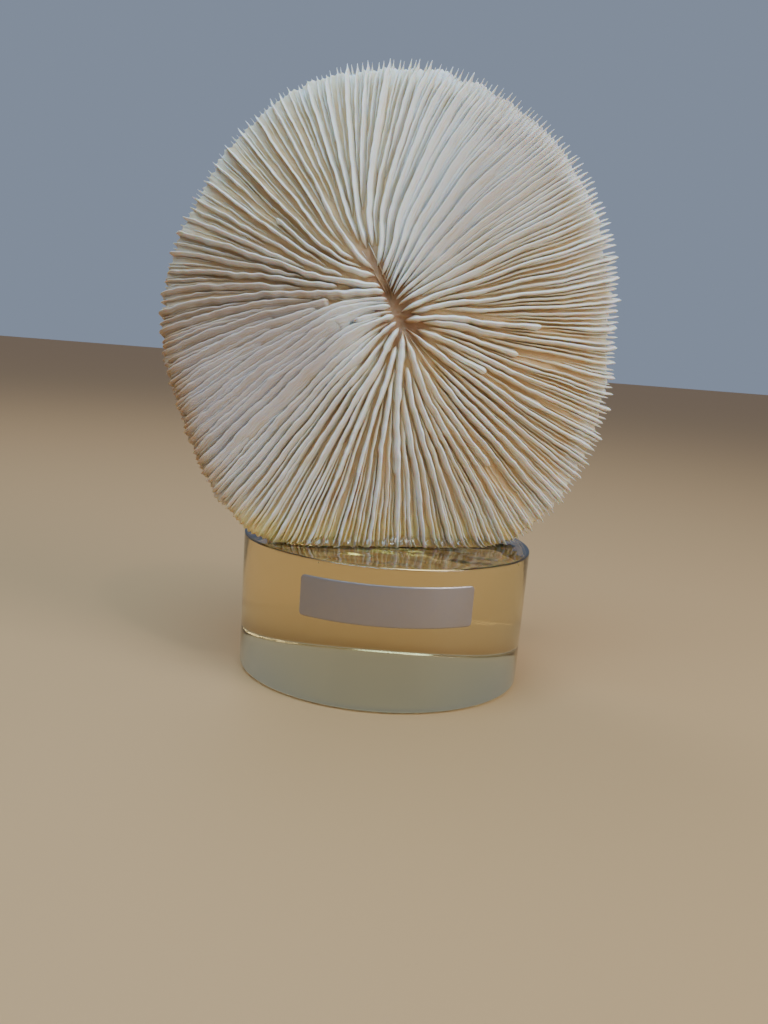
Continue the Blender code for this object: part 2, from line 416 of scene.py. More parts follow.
    def crest_level(self, point: np.ndarray) -> np.ndarray:
        """Common height of the oldest crests over the mid surface, before anything sinks."""
        return self.crest - self.crest_rim_drop * self.share(point) ** 4

    def floor_level(self, point: np.ndarray) -> np.ndarray:
        """Height of the floor between the septa.

        Args:
            point: right and up coordinates.

        Returns:
            Heights over the mid surface.
        """
        pit, _ = trough(point, self.pit, *self.pit_floor_dip)
        mean = float(np.mean(self.groove_depths))
        local = around(self.groove_depths, np.arctan2(point[..., 1], point[..., 0])) - mean
        depth = mean + local * rise(np.hypot(point[..., 0], point[..., 1]), *self.groove_range)
        return self.crest_level(point) - depth * (1.0 - self.groove_rim_loss * self.share(point) ** 3) - pit

    def back_level(self, point: np.ndarray) -> np.ndarray:
        """Height of the disc's back, thick in the middle and thin at the rim."""
        return -self.back_centre + (self.back_centre - self.back_rim) * self.share(point) ** 2

    def edge_inset(self, azimuth: np.ndarray | float) -> np.ndarray:
        """How far the plate's edge lies inside the septa's tips."""
        return around(self.edge_insets, azimuth)

    def mouth_closeness(self, point: np.ndarray) -> np.ndarray:
        """Closeness to the mouth and its furrow.

        Args:
            point: right and up coordinates.

        Returns:
            Shares from 1 in the mouth to 0 far away.
        """
        pit, _ = trough(point, self.pit, *self.pit_stain)
        furrow, place = trough(point, self.furrow, *self.furrow_stain)
        return np.maximum(pit, furrow * (1.0 - place ** 4))

    def dress_points(
        self,
        piece: bpy.types.Object,
        point: np.ndarray,
        depth: np.ndarray,
        mouth: np.ndarray,
        fibre: np.ndarray,
    ) -> None:
        """Store what the skeleton's finish reads at each point of a piece.

        Args:
            piece: the mesh object.
            point: right and up coordinates of its points.
            depth: how deep each point lies between the crests, from 0 to 1.
            mouth: closeness to the mouth.
            fibre: place in the fibres that run along the septa, three numbers per point.
        """
        # Store the painted shade that darkens the disc towards its lower left, fading towards the middle.
        painted_shade = np.clip(around(self.painted_shade, np.arctan2(point[:, 1], point[:, 0])), 0.0, 1.0)
        painted_shade = painted_shade * rise(self.share(point), *self.painted_shade_range)
        for name, values in (("depth", depth), ("mouth", mouth), ("painted_shade", painted_shade), ("fibre", fibre)):
            kind, key = ("FLOAT", "value") if values.ndim == 1 else ("FLOAT_VECTOR", "vector")
            attribute = piece.data.attributes.new(name, kind, "POINT")
            attribute.data.foreach_set(key, values.astype(np.float32).ravel())


class Order(Enum):
    """The septa's orders, from the oldest, which reach the mouth, to the youngest at the rim."""

    FIRST = 0
    SECOND = 1
    THIRD = 2
    FOURTH = 3


@dataclass(frozen=True)
class OrderForm:
    """Sizes that the septa of one order share.

    clearance is the room that a septum needs to its elders, loss how far its crest stays under
    the oldest crests, and width its thickness, each inside and at the rim.
    """

    clearance: float
    loss_inside: float
    loss_rim: float
    width_inside: float
    width_rim: float
    width_reach: float
    ramp: float


ORDER_FORMS = {
    Order.FIRST: OrderForm(1.60, 0.0, 0.0, 2.4, 1.22, 11.0, 2.0),
    Order.SECOND: OrderForm(1.35, 0.1, 0.1, 1.7, 1.12, 14.0, 7.0),
    Order.THIRD: OrderForm(1.15, 0.7, 0.4, 1.0, 0.88, 30.0, 12.0),
    Order.FOURTH: OrderForm(0.78, 1.7, 1.2, 0.38, 0.48, 45.0, 12.0),
}


@dataclass
class Septum:
    """One upright blade of the coral, from its inner end to its tip at the rim.

    Distances run along the course from its inner end. reach is the distance of the rim, start that
    of the blade's inner end and broken that of its blunt end, if it has one. tip is how far the
    blade stands out past the rim, and room the space to its nearest neighbour.
    """

    azimuth: float
    order: Order
    rank: int
    course: np.ndarray
    reach: float
    start: float = 0.0
    tip: float = 0.0
    lift: float = 0.0
    tilt: float = 0.0
    stoutness: float = 1.0
    phase: float = 0.0
    broken: float = 0.0
    room: np.ndarray = field(default_factory=lambda: np.zeros(0))

    @property
    def end(self) -> float:
        """Distance of the tip."""
        return self.reach + self.tip

    def at(self, distance: np.ndarray) -> np.ndarray:
        """Points of the course at distances from its inner end."""
        return read_line(self.course, np.arange(len(self.course)) * COURSE_STEP, distance)

    def room_at(self, distance: np.ndarray) -> np.ndarray:
        """Room to the nearest neighbour at distances from the inner end."""
        return np.interp(distance, np.arange(len(self.room)) * COURSE_STEP, self.room)

    def read(self, values: Table) -> float:
        """Value of a table at the septum's azimuth."""
        return float(around(values, self.azimuth))

    def gone(self, distance: np.ndarray, low: float, high: float) -> np.ndarray:
        """How far a broken septum is missing past its blunt end.

        Args:
            distance: distances from the inner end.
            low: how far past the blunt end it starts to grow back.
            high: how far past the blunt end it is whole again.

        Returns:
            Shares from 0 to 1.
        """
        broken = rise(distance, self.broken, self.broken + 0.6)
        return broken * (1.0 - rise(distance, self.broken + low, self.broken + high))


@dataclass(frozen=True)
class Scatter:
    """How far the septa stray by chance, each as a standard deviation.

    azimuth is in shares of the space between two septa, tilt in degrees, and stoutness and
    clearance in shares of the whole.
    """

    azimuth: float = 0.13
    tip: float = 0.5
    lift: float = 0.30
    tilt: float = 4.0
    stoutness: float = 0.14
    clearance: float = 0.07


@dataclass
class SeptaPlan:
    """The ways that the septa take from the mouth to the rim, and where each one starts.

    mouth holds the inner ends of the oldest septa, each with the azimuth, in degrees, at which the
    septum meets the rim. turns holds how far, in degrees, a septum is turned from its azimuth at
    the rim where it crosses each of the radii. furrow_edges holds each thin septum's place beside
    the furrow and its lift. blunt_ends are the places where stout septa are broken off.
    """

    form: DiscForm
    count: int = 296
    neighbours: int = 44
    overshoot: float = 3.0
    seed: int = 21
    inner_pull: float = 0.7
    youngest_rank: int = 9
    scatter: Scatter = Scatter()
    shortest: float = 9.0
    longest_tip: float = 0.3
    tip_loss: float = 0.9
    tip_growth: float = 0.9
    oldest_clearance: float = 0.9
    deeply_sunk: float = 3.4
    sunk_crowding: float = 0.6
    edge_start: float = 0.4
    edge_stoutness: float = 1.1
    edge_room: float = 0.8
    open_space: float = 99.0
    sparse: Pair = (236.0, 366.0)
    crowding: Table = (0.0, 0.15, 0.45, 0.1, 0.0, 0.0, 0.0, 0.35, 0.1, 0.0, 0.0, 0.0)
    stoutness: Table = (0.92, 0.88, 0.92, 0.84, 0.56, 0.60, 0.80, 1.2, 1.08, 1.04, 1.0, 0.94)
    rim_growth: Table = (0.3, 0.9, 0.9, 0.7, 0.35, 0.3, 0.3, 0.7, 0.3, 0.2, 0.1, 0.1)
    furrow_edges: Line = ((-1.4, 0.9), (-0.7, 0.3), (-0.05, 1.0), (0.6, 0.4), (1.2, 1.0))
    mouth: tuple[Triple, ...] = (
        (1.0, 4.9, -0.2), (29.0, 3.3, 2.5), (43.0, 2.2, 4.9), (64.0, 0.5, 6.8), (76.0, -2.6, 10.8),
        (98.0, -5.7, 14.9), (106.0, -7.9, 17.2), (112.0, -1.4, 6.0), (120.0, -2.2, 6.2),
        (127.0, -11.3, 14.2), (147.0, -6.2, 6.6), (178.0, -4.3, 5.2), (206.0, -3.1, 3.1),
        (217.0, -1.8, 0.7), (227.0, -1.3, -1.8), (245.0, 0.8, -2.8), (285.0, 3.4, -6.4),
        (307.0, 5.2, -8.8), (322.0, 4.6, -4.6), (335.0, 6.7, -4.0),
    )
    radii: Triple = (13.0, 24.0, 40.0)
    turns: tuple[Table, ...] = (
        (1.0, 7.0, 18.0, 19.0, 1.0, -8.0, -22.0, -31.0, 5.0, 8.0, -3.0, -5.0),
        (-1.0, 4.0, 12.0, 15.0, 3.0, 0.0, -11.0, -15.0, 1.0, 2.0, -4.0, -3.0),
        (-1.0, 2.0, 6.0, 7.0, 1.0, 1.0, -5.0, -6.0, 0.0, 1.0, -1.0, -2.0),
    )
    blunt_ends: Line = (
        (38.0, 2.1), (33.4, -5.7), (24.7, -12.1), (15.8, -21.8), (-9.5, -1.6), (-30.0, 24.0), (27.0, -38.0),
    )

    def azimuths(self) -> np.ndarray:
        """Space the septa evenly along the outline.

        Returns:
            Their azimuths at the rim, in radians.
        """
        fine = np.linspace(0.0, TAU, 2881)
        radius = around(self.form.radii, fine)
        lengths = travelled(np.stack((radius * np.cos(fine), radius * np.sin(fine)), -1))
        return np.interp(np.arange(self.count) * lengths[-1] / self.count, lengths, fine)

    def turn(self, azimuth: float, radius: float) -> float:
        """Turn of a septum where it crosses a radius.

        Args:
            azimuth: the septum's azimuth at the rim, in radians.
            radius: the radius.

        Returns:
            The turn in radians.
        """
        rim = float(around(self.form.radii, azimuth))
        turns = [float(around(table, azimuth)) for table in self.turns]
        return math.radians(float(np.interp(radius, (*self.radii, rim), (*turns, 0.0))))

    def course(self, azimuth: float) -> tuple[np.ndarray, float]:
        """Lay one septum's course.

        Args:
            azimuth: the septum's azimuth at the rim, in radians.

        Returns:
            The course's points, a little beyond the rim, and its length up to the rim.
        """
        form = self.form
        table = np.array(self.mouth)
        degrees = math.degrees(azimuth)
        inner = np.array([np.interp(degrees, table[:, 0], table[:, side], period=360.0) for side in (1, 2)])
        start = float(np.hypot(*inner))
        reached = [(*line_distance(inner[None], line), line) for line in (form.pit, form.furrow)]
        _, place, line = min(reached, key=lambda item: item[0][0])
        nodes = [inner + self.inner_pull * (line_point(line, place[0]) - inner)]
        first, second, third = self.radii
        for radius in (max(first, (start + second) / 2.0), second, third):
            angle = azimuth + self.turn(azimuth, radius)
            nodes.append(radius * np.array((math.cos(angle), math.sin(angle))))
        nodes.append(float(form.rim(azimuth)) * np.array((math.cos(azimuth), math.sin(azimuth))))
        course = smooth_path(np.array(nodes))
        onward = unit(course[-1] - course[-2])
        extra = np.arange(1, int(self.overshoot / COURSE_STEP) + 1)[:, None] * COURSE_STEP
        return np.concatenate((course, course[-1] + onward * extra)), (len(course) - 1) * COURSE_STEP

    def orders(self) -> list[tuple[Order, int]]:
        """Share out the orders around the disc.

        Every second septum is stout, and every third one in the sparse part of the disc.

        Returns:
            Each septum's order, and its rank in the row in which they grow.
        """
        orders = []
        stout = 0
        thin = 0
        for degrees in np.degrees(self.azimuths()):
            sparse = self.sparse[0] < degrees or degrees < self.sparse[1] - 360.0
            if thin < (2 if sparse else 1):
                thin += 1
                orders.append((Order.FOURTH, self.youngest_rank))
                continue
            thin = 0
            order = (Order.FIRST, Order.THIRD, Order.SECOND, Order.THIRD)[stout % 4]
            orders.append((order, 0 if stout % 8 == 0 else order.value + 1))
            stout += 1
        return orders

    def draw(self, rng: np.random.Generator) -> list[Septum]:
        """Draw all septa at their full length.

        Args:
            rng: the source of chance.

        Returns:
            The septa in turn around the disc.
        """
        septa = []
        scatter = self.scatter
        for (order, rank), azimuth in zip(self.orders(), self.azimuths()):
            azimuth = azimuth + rng.normal(0.0, scatter.azimuth) * TAU / self.count
            septum = Septum(azimuth, order, rank, *self.course(azimuth))
            kept = 1.0 - self.tip_growth * septum.read(self.rim_growth)
            shortened = self.tip_loss * ORDER_FORMS[order].loss_rim * kept
            septum.tip = min(rng.normal(0.0, scatter.tip), self.longest_tip) - shortened
            septum.lift = rng.normal(0.0, scatter.lift)
            septum.tilt = math.radians(rng.normal(0.0, scatter.tilt))
            strayed = float(np.exp(rng.normal(0.0, scatter.stoutness)))
            septum.stoutness = strayed * septum.read(self.stoutness)
            septum.phase = rng.uniform(0.0, TAU)
            septa.append(septum)
        return septa

    def grow(self) -> list[Septum]:
        """Let each septum reach inwards until its elders leave no room, and break some off.

        Returns:
            The septa in turn around the disc.
        """
        rng = np.random.default_rng(self.seed)
        septa = self.draw(rng)
        placed: list[int] = []
        for index in sorted(range(self.count), key=lambda index: (septa[index].rank, index)):
            septum = septa[index]
            septum.start = rng.uniform(0.0, COURSE_STEP)
            room = self.room(septum, index, placed, septa)
            need = self.oldest_clearance if septum.rank == 0 else ORDER_FORMS[septum.order].clearance
            need = need * math.exp(rng.normal(0.0, self.scatter.clearance))
            need = need * (1.0 - septum.read(self.crowding))
            sunk = np.minimum(1.0, self.form.sunk(septum.course) / self.deeply_sunk)
            tight = np.nonzero(room < need * (1.0 - self.sunk_crowding * sunk))[0]
            tight = tight[tight * COURSE_STEP < septum.reach - self.shortest]
            if len(tight):
                septum.start = (tight[-1] + 1) * COURSE_STEP
            placed.append(index)
        for index, septum in enumerate(septa):
            septum.room = self.room(septum, index, placed, septa)
        self.break_ends(septa)
        return septa

    def break_ends(self, septa: list[Septum]) -> None:
        """Break off the stout septum that is nearest to each blunt end.

        Args:
            septa: all septa.
        """
        stout = [septum for septum in septa if septum.order in (Order.FIRST, Order.SECOND)]
        for end in self.blunt_ends:
            off = [np.hypot(*(septum.course - np.array(end)).T) for septum in stout]
            nearest = int(np.argmin([distance.min() for distance in off]))
            stout[nearest].broken = float(np.argmin(off[nearest])) * COURSE_STEP

    def edges(self) -> list[Septum]:
        """Lay the thin deep septa that run side by side along the furrow.

        Returns:
            The septa.
        """
        corners = np.array(self.form.furrow)
        way = corners[-1] - corners[0]
        side = np.array((-way[1], way[0])) / np.hypot(*way)
        spread = np.linspace(self.edge_start, 1.0, len(corners))[:, None]
        edges = []
        for index, (aside, lift) in enumerate(self.furrow_edges):
            course = smooth_path(corners + side * aside * spread)
            septum = Septum(math.atan2(way[1], way[0]), Order.FOURTH, self.youngest_rank, course, 0.0)
            septum.reach = (len(course) - 1) * COURSE_STEP
            septum.lift = lift
            septum.stoutness = self.edge_stoutness
            septum.phase = 2.0 * index
            septum.room = np.full(len(course), self.edge_room)
            edges.append(septum)
        return edges

    def room(self, septum: Septum, index: int, placed: list[int], septa: list[Septum]) -> np.ndarray:
        """Distance from each point of a septum's course to the nearest placed septum.

        Args:
            septum: the septum.
            index: its place in the list.
            placed: places of the septa that already stand.
            septa: all septa.

        Returns:
            One distance per point of the course.
        """
        best = np.full(len(septum.course), self.open_space)
        for other in placed:
            gap = abs(other - index)
            if other == index or min(gap, self.count - gap) > self.neighbours:
                continue
            standing = septa[other].course[int(septa[other].start / COURSE_STEP)::2]
            apart = septum.course[:, None, :] - standing[None, :, :]
            best = np.minimum(best, np.hypot(apart[..., 0], apart[..., 1]).min(axis=1))
        return best


@dataclass
class SeptaBlades:
    """The septa's closed blades.

    closed holds how far the septa lie down on their neighbours, from 0 to 1, and leans their lean
    in degrees. A section is a blade's outline across: each corner's share of the half width, its
    share of the height and its drop under the crest in cap heights. A range is where a change
    starts and where it is complete.
    """

    form: DiscForm
    plan: SeptaPlan
    row_step: float = 0.58
    tip_lengths: Table = (4.2, 5.0, 7.5, 6.5, 4.2, 4.2, 3.8, 3.4, 3.8, 4.2, 4.2, 4.2)
    tip_height: float = -0.6
    recess: Table = (0.0, 0.0, 0.0, 0.1, 0.4, 0.55, 0.4, 0.0, 0.0, 0.0, 0.0, 0.0)
    waviness: Table = (1.0, 1.0, 1.0, 1.0, 1.0, 1.4, 1.9, 1.4, 1.2, 1.2, 1.2, 1.1)
    leans: Table = (6.0, 20.0, 58.0, 22.0, 3.0, -2.0, -13.0, -56.0, -24.0, 2.0, 8.0, 8.0)
    closed: Table = (0.0, 0.3, 1.0, 0.35, 0.0, 0.0, 0.05, 1.0, 0.35, 0.0, 0.0, 0.0)
    bluntness: Table = (0.1, 0.0, 0.2, 0.4, 0.3, 0.6, 1.0, 1.0, 0.6, 0.2, 0.1, 0.0)
    tapers: Table = (2.6, 2.8, 4.0, 6.5, 5.0, 4.0, 2.4, 2.4, 3.0, 4.5, 4.5, 3.2)
    needles: Table = (0.1, 0.3, 0.8, 1.0, 0.9, 0.6, 0.2, 0.2, 0.4, 0.9, 0.9, 0.5)
    rim_stains: Table = (0.0, 0.0, 0.0, 0.0, 0.0, 0.4, 1.3, 2.2, 1.4, 0.2, 0.0, 0.0)
    bleached: Table = (6.0, 6.0, 6.0, 6.0, 6.0, 6.0, 6.0, 6.0, 6.0, 10.0, 22.0, 14.0)
    rim_width: float = 0.75
    rim_loss: float = 0.45
    raggedness: Table = (0.0, 0.05, 0.3, 0.1, 0.0, 0.1, 0.5, 1.0, 0.5, 0.1, 0.0, 0.0)
    roundings: Table = (1.8, 1.3, 0.6, 0.8, 1.5, 1.8, 3.0, 4.0, 3.0, 1.8, 1.8, 1.8)
    risings: Table = (0.4, 0.6, 0.85, 0.85, 0.5, 0.4, 0.3, 0.2, 0.3, 0.4, 0.4, 0.4)
    rising_length: float = 16.0
    growth_range: Pair = (0.25, 0.85)
    loss_range: Pair = (0.60, 0.96)
    recess_range: Pair = (4.0, 16.0)
    drift_range: Pair = (3.0, 18.0)
    lean_range: Pair = (3.0, 15.0)
    sway: float = 0.42
    closed_thinning: float = 0.50
    sunk_thinning: float = 0.78
    deeply_sunk: float = 3.2
    nose_length: float = 7.0
    nose_shortening: float = 4.4
    least_width: float = 0.12
    least_crest: float = 0.12
    least_oldest_crest: float = 0.30
    pointed_ramp: float = 5.0
    broken_thinning: float = 0.62
    broken_drop: float = 1.9
    swelling: float = 0.35
    hidden_depth: float = 0.9
    cap_share: float = 0.22
    deepest: float = 5.0
    bleaching: float = 0.7
    closed_paleness: float = 0.75
    fibre_scale: Triple = (0.16, 2.4, 7.0)
    stout_section: tuple[Triple, ...] = (
        (-1.50, 0.0, 0.0), (-1.25, 0.45, 0.0), (-1.0, 1.0, -3.2), (-0.86, 1.0, -1.7),
        (-0.62, 1.0, -0.72), (-0.32, 1.0, -0.20), (0.0, 1.0, 0.0), (0.32, 1.0, -0.20),
        (0.62, 1.0, -0.72), (0.86, 1.0, -1.7), (1.0, 1.0, -3.2), (1.25, 0.45, 0.0), (1.50, 0.0, 0.0),
    )
    thin_section: tuple[Triple, ...] = (
        (-1.50, 0.0, 0.0), (-1.20, 0.45, 0.0), (-0.95, 1.0, -1.8), (-0.58, 1.0, -0.4), (0.0, 1.0, 0.0),
        (0.58, 1.0, -0.4), (0.95, 1.0, -1.8), (1.20, 0.45, 0.0), (1.50, 0.0, 0.0),
    )

    def closure(self, septum: Septum) -> float:
        """How far a septum lies down on its neighbour, from 0 to 1."""
        return float(np.clip(septum.read(self.closed), 0.0, 1.0))

    def blunt(self, septum: Septum) -> float:
        """How round a septum ends at the mouth, from 0 for a long point to 1."""
        return septum.read(self.bluntness) if septum.order is Order.FIRST else 0.0

    def growth(self, septum: Septum, point: np.ndarray) -> np.ndarray:
        """How far a young septum catches up with its elders at the rim.

        Args:
            septum: the septum.
            point: points of its course.

        Returns:
            Shares from 0 to 1.
        """
        if septum.order is not Order.FOURTH:
            return np.zeros(len(point))
        most = float(np.clip(septum.read(self.plan.rim_growth), 0.0, 1.0))
        return most * rise(self.form.share(point), *self.growth_range)

    def tip_fall(self, septum: Septum, distance: np.ndarray, rounding: float) -> np.ndarray:
        """How far a septum's edges have closed towards its tip.

        Args:
            septum: the septum.
            distance: distances from its inner end.
            rounding: exponent of the fall, small for a long point and large for a round end.

        Returns:
            Shares from 0 well inside to 1 at the tip.
        """
        length = septum.read(self.tip_lengths)
        place = np.clip(1.0 - (septum.end - distance) / length, 0.0, 1.0)
        pointed = rise(distance, septum.end - length, septum.end) ** rounding
        round_end = 1.0 - np.sqrt(1.0 - place ** 2.5)
        return pointed + (round_end - pointed) * min(1.0, max(0.0, (rounding - 1.9) / 1.2))

    def width(self, septum: Septum, distance: np.ndarray) -> np.ndarray:
        """Thickness of a septum along its course.

        Args:
            septum: the septum.
            distance: distances from its inner end.

        Returns:
            One thickness per distance.
        """
        shape = ORDER_FORMS[septum.order]
        point = septum.at(distance)
        blunt = self.blunt(septum)
        closure = self.closure(septum)
        inside = np.exp(-((distance / shape.width_reach) ** 1.5))
        width = shape.width_rim + (shape.width_inside * (0.7 + 0.5 * blunt) - shape.width_rim) * inside
        width = width + (self.rim_width - width) * self.growth(septum, point)
        width = width * (1.0 - self.closed_thinning * closure * (1.0 - inside))
        slow = 0.10 * np.sin(distance * self.sway + septum.phase)
        quick = 0.08 * np.sin(distance * 1.1 + 2.0 * septum.phase)
        wobble = (slow + quick) * septum.read(self.waviness) * (1.0 - 0.8 * closure)
        width = width * (1.0 + wobble) * septum.stoutness
        width = np.minimum(width, (0.5 + 0.4 * septum.stoutness) * septum.room_at(distance))
        sunk = np.minimum(1.0, self.form.sunk(point) / self.deeply_sunk)
        width = width * (1.0 - self.sunk_thinning * sunk)
        nose = self.nose_length - self.nose_shortening * blunt
        inner = np.clip((distance - septum.start) / nose, 0.0, 1.0)
        least = self.least_width + 0.18 * blunt
        width = width * (least + (1.0 - least) * quarter(inner))
        outer = np.clip((septum.end - distance) / septum.read(self.tapers), 0.0, 1.0)
        needle = septum.read(self.needles)
        taper = (1.0 - needle) * quarter(outer) + needle * outer ** 0.9
        width = width * (self.least_width + (1.0 - self.least_width) * taper)
        if septum.broken:
            swollen = rise(distance, septum.broken - 6.0, septum.broken - 1.0)
            swollen = swollen * (1.0 - rise(distance, septum.broken, septum.broken + 0.4))
            width = width * (1.0 - self.broken_thinning * septum.gone(distance, 6.0, 16.0))
            width = width * (1.0 + self.swelling * swollen)
        return width

    def crest(self, septum: Septum, distance: np.ndarray, point: np.ndarray) -> np.ndarray:
        """Height of a septum's crest along its course.

        Args:
            septum: the septum.
            distance: distances from its inner end.
            point: the course's points there.

        Returns:
            Heights over the mid surface.
        """
        form = self.form
        shape = ORDER_FORMS[septum.order]
        floor = form.floor_level(point)
        outside = rise(form.share(point), *self.loss_range)
        loss = shape.loss_inside + (shape.loss_rim - shape.loss_inside) * outside
        loss = loss + (self.rim_loss - loss) * self.growth(septum, point)
        if septum.order in (Order.THIRD, Order.FOURTH):
            loss = loss + max(0.0, septum.read(self.recess)) * rise(distance, *self.recess_range)
        top = form.crest_level(point) + septum.lift - loss - form.sunk(point)
        blunt = self.blunt(septum)
        ramp = shape.ramp + self.pointed_ramp * (1.0 - blunt)
        inner = np.clip((distance - septum.start) / ramp, 0.0, 1.0)
        nose = blunt * quarter(inner) + (1.0 - blunt) * inner * (2.0 - inner)
        least = self.least_oldest_crest if septum.order is Order.FIRST else self.least_crest
        top = floor + (top - floor) * (least + 0.88 * nose).clip(0.0, 1.0)
        if septum.broken:
            top = top - self.broken_drop * septum.gone(distance, 4.0, 18.0)
        return top + (self.tip_height - top) * self.tip_fall(septum, distance, septum.read(self.roundings))

    def notches(self, septum: Septum, distance: np.ndarray) -> np.ndarray:
        """Unevenness of a septum's free edge, ragged where the septa lie on one another.

        Args:
            septum: the septum.
            distance: distances from its inner end.

        Returns:
            Heights to add to the crest.
        """
        phase = septum.phase
        open_edge = 0.12 * np.sin(distance * 0.8 + phase) + 0.07 * np.sin(distance * 1.9 + 3.0 * phase)
        slow = np.sin(distance * (0.30 + 0.06 * math.sin(5.0 * phase)) + 2.0 * phase)
        quick = np.sin(distance * (0.95 + 0.4 * math.sin(3.0 * phase)) + phase)
        ragged = 0.24 * slow + 0.13 * quick * (0.6 + slow) + 0.06 * np.sin(distance * 2.3 + 5.0 * phase)
        notch = open_edge * (1.0 - 0.9 * self.closure(septum)) + ragged * septum.read(self.raggedness)
        return notch * rise(septum.end - distance, 1.0, 5.0)

    def root(self, septum: Septum, distance: np.ndarray, point: np.ndarray) -> np.ndarray:
        """Height of a septum's lower edge, hidden in the plate and free under the tip.

        Args:
            septum: the septum.
            distance: distances from its inner end.
            point: the course's points there.

        Returns:
            Heights over the mid surface.
        """
        inside = self.form.floor_level(point) - self.hidden_depth
        edge = septum.reach - float(self.form.edge_inset(septum.azimuth))
        back = self.form.back_level(point) - 0.25
        level = inside + (np.minimum(back, inside) - inside) * rise(distance, edge - 2.5, edge - 0.3)
        rounding = max(1.25, septum.read(self.roundings) - 0.3)
        return level + (self.tip_height - 0.08 - level) * self.tip_fall(septum, distance, rounding)

    def blade(self, septum: Septum, drift: Waves, ripple: Waves) -> tuple[np.ndarray, ...]:
        """Make one septum's closed blade.

        Args:
            septum: the septum.
            drift: slow sideways drift that neighbours share.
            ripple: quicker sideways ripple.

        Returns:
            Points in the disc's own directions, triangles, each point's depth under the crests in
            millimetres, and its place in the fibres that run along the septum.
        """
        form = self.form
        section = self.thin_section if septum.order is Order.FOURTH else self.stout_section
        closure = self.closure(septum)
        end = septum.end
        rows = max(8, int((end - septum.start) / self.row_step))
        distance = np.linspace(septum.start, end, rows)
        straight = septum.at(distance)
        way = unit(np.gradient(straight, axis=0))
        side = np.stack((-way[:, 1], way[:, 0]), -1)
        own = 0.035 * ripple(straight) + 0.04 * np.sin(distance * self.sway + septum.phase)
        own = own * septum.read(self.waviness) * np.minimum(septum.room_at(distance), 2.0)
        aside = 0.10 * drift(straight) * rise(distance, *self.drift_range)
        aside = aside + own * (1.0 - 0.9 * closure)
        point = straight + side * aside[:, None]
        normal = form.normal(point)
        across = np.concatenate((side, np.zeros((rows, 1))), -1)
        across = unit(across - (across * normal).sum(-1, keepdims=True) * normal)
        rising = septum.read(self.risings) * rise(distance, end - self.rising_length, end)
        lean = np.radians(septum.read(self.leans)) * (1.0 - rising) + septum.tilt * (1.0 - 0.5 * closure)
        lean = (lean * rise(distance, *self.lean_range))[:, None]
        upright = normal * np.cos(lean) + across * np.sin(lean)
        flat = across * np.cos(lean) - normal * np.sin(lean)
        half = self.width(septum, distance) / 2.0
        root = self.root(septum, distance, point)
        top = np.maximum(self.crest(septum, distance, point), root + 0.05)
        notch = np.maximum(self.notches(septum, distance), 0.03 - (top - root))
        height = (top - root) / np.cos(lean[:, 0]) + notch
        cap = np.minimum(half, height * self.cap_share)
        crest_place = form.surface(point, top) + upright * notch[:, None]
        covered = form.crest_level(point) - top
        bleached = self.bleaching * rise(distance, end - septum.read(self.bleached), end - 1.5)
        stain = (1.0 - bleached) * (1.0 - self.closed_paleness * closure)
        golden = septum.read(self.rim_stains) * rise(distance, end - 7.0, end - 1.0)
        columns = []
        depths = []
        fibres = []
        along, across_scale, between = self.fibre_scale
        for sideways, level, drop in section:
            below = height * (1.0 - level) - cap * drop
            columns.append(crest_place + flat * (half * sideways)[:, None] - upright * below[:, None])
            depths.append((covered + below) * stain + golden)
            turned = math.copysign(1.0, sideways) * below + half * sideways
            apart = np.full(rows, septum.phase * between)
            fibres.append(np.stack((distance * along, turned * across_scale, apart), -1))
        fan = np.arange(1, len(section) - 1)
        first = np.stack((np.zeros_like(fan), fan + 1, fan), -1)
        last = np.stack((np.zeros_like(fan), fan, fan + 1), -1) + (rows - 1) * len(section)
        triangles = np.concatenate((closed_grid(rows, len(section)), first, last))
        points = np.stack(columns, 1).reshape(-1, 3)
        return points, triangles[:, ::-1], np.stack(depths, 1).ravel(), np.stack(fibres, 1).reshape(-1, 3)

    def build(self, name: str, orders: tuple[Order, ...], septa: list[Septum]) -> bpy.types.Object:
        """Join the blades of some orders into one piece.

        Args:
            name: the piece's name.
            orders: the orders that the piece holds.
            septa: all septa.

        Returns:
            The piece.
        """
        drift = Waves(3, 24.0)
        ripple = Waves(5, 8.0, 9)
        blades = [self.blade(septum, drift, ripple) for septum in septa if septum.order in orders]
        points, faces, depths, fibres = zip(*blades)
        shifts = np.cumsum([0, *(len(each) for each in points[:-1])])
        faces = np.concatenate([each + shift for each, shift in zip(faces, shifts)])
        place = np.concatenate(points)
        piece = mesh_object(name, self.form.to_row(place), faces)
        depth = np.concatenate(depths) / self.deepest
        point = place[:, :2]
        self.form.dress_points(piece, point, depth, self.form.mouth_closeness(point), np.concatenate(fibres))
        return piece


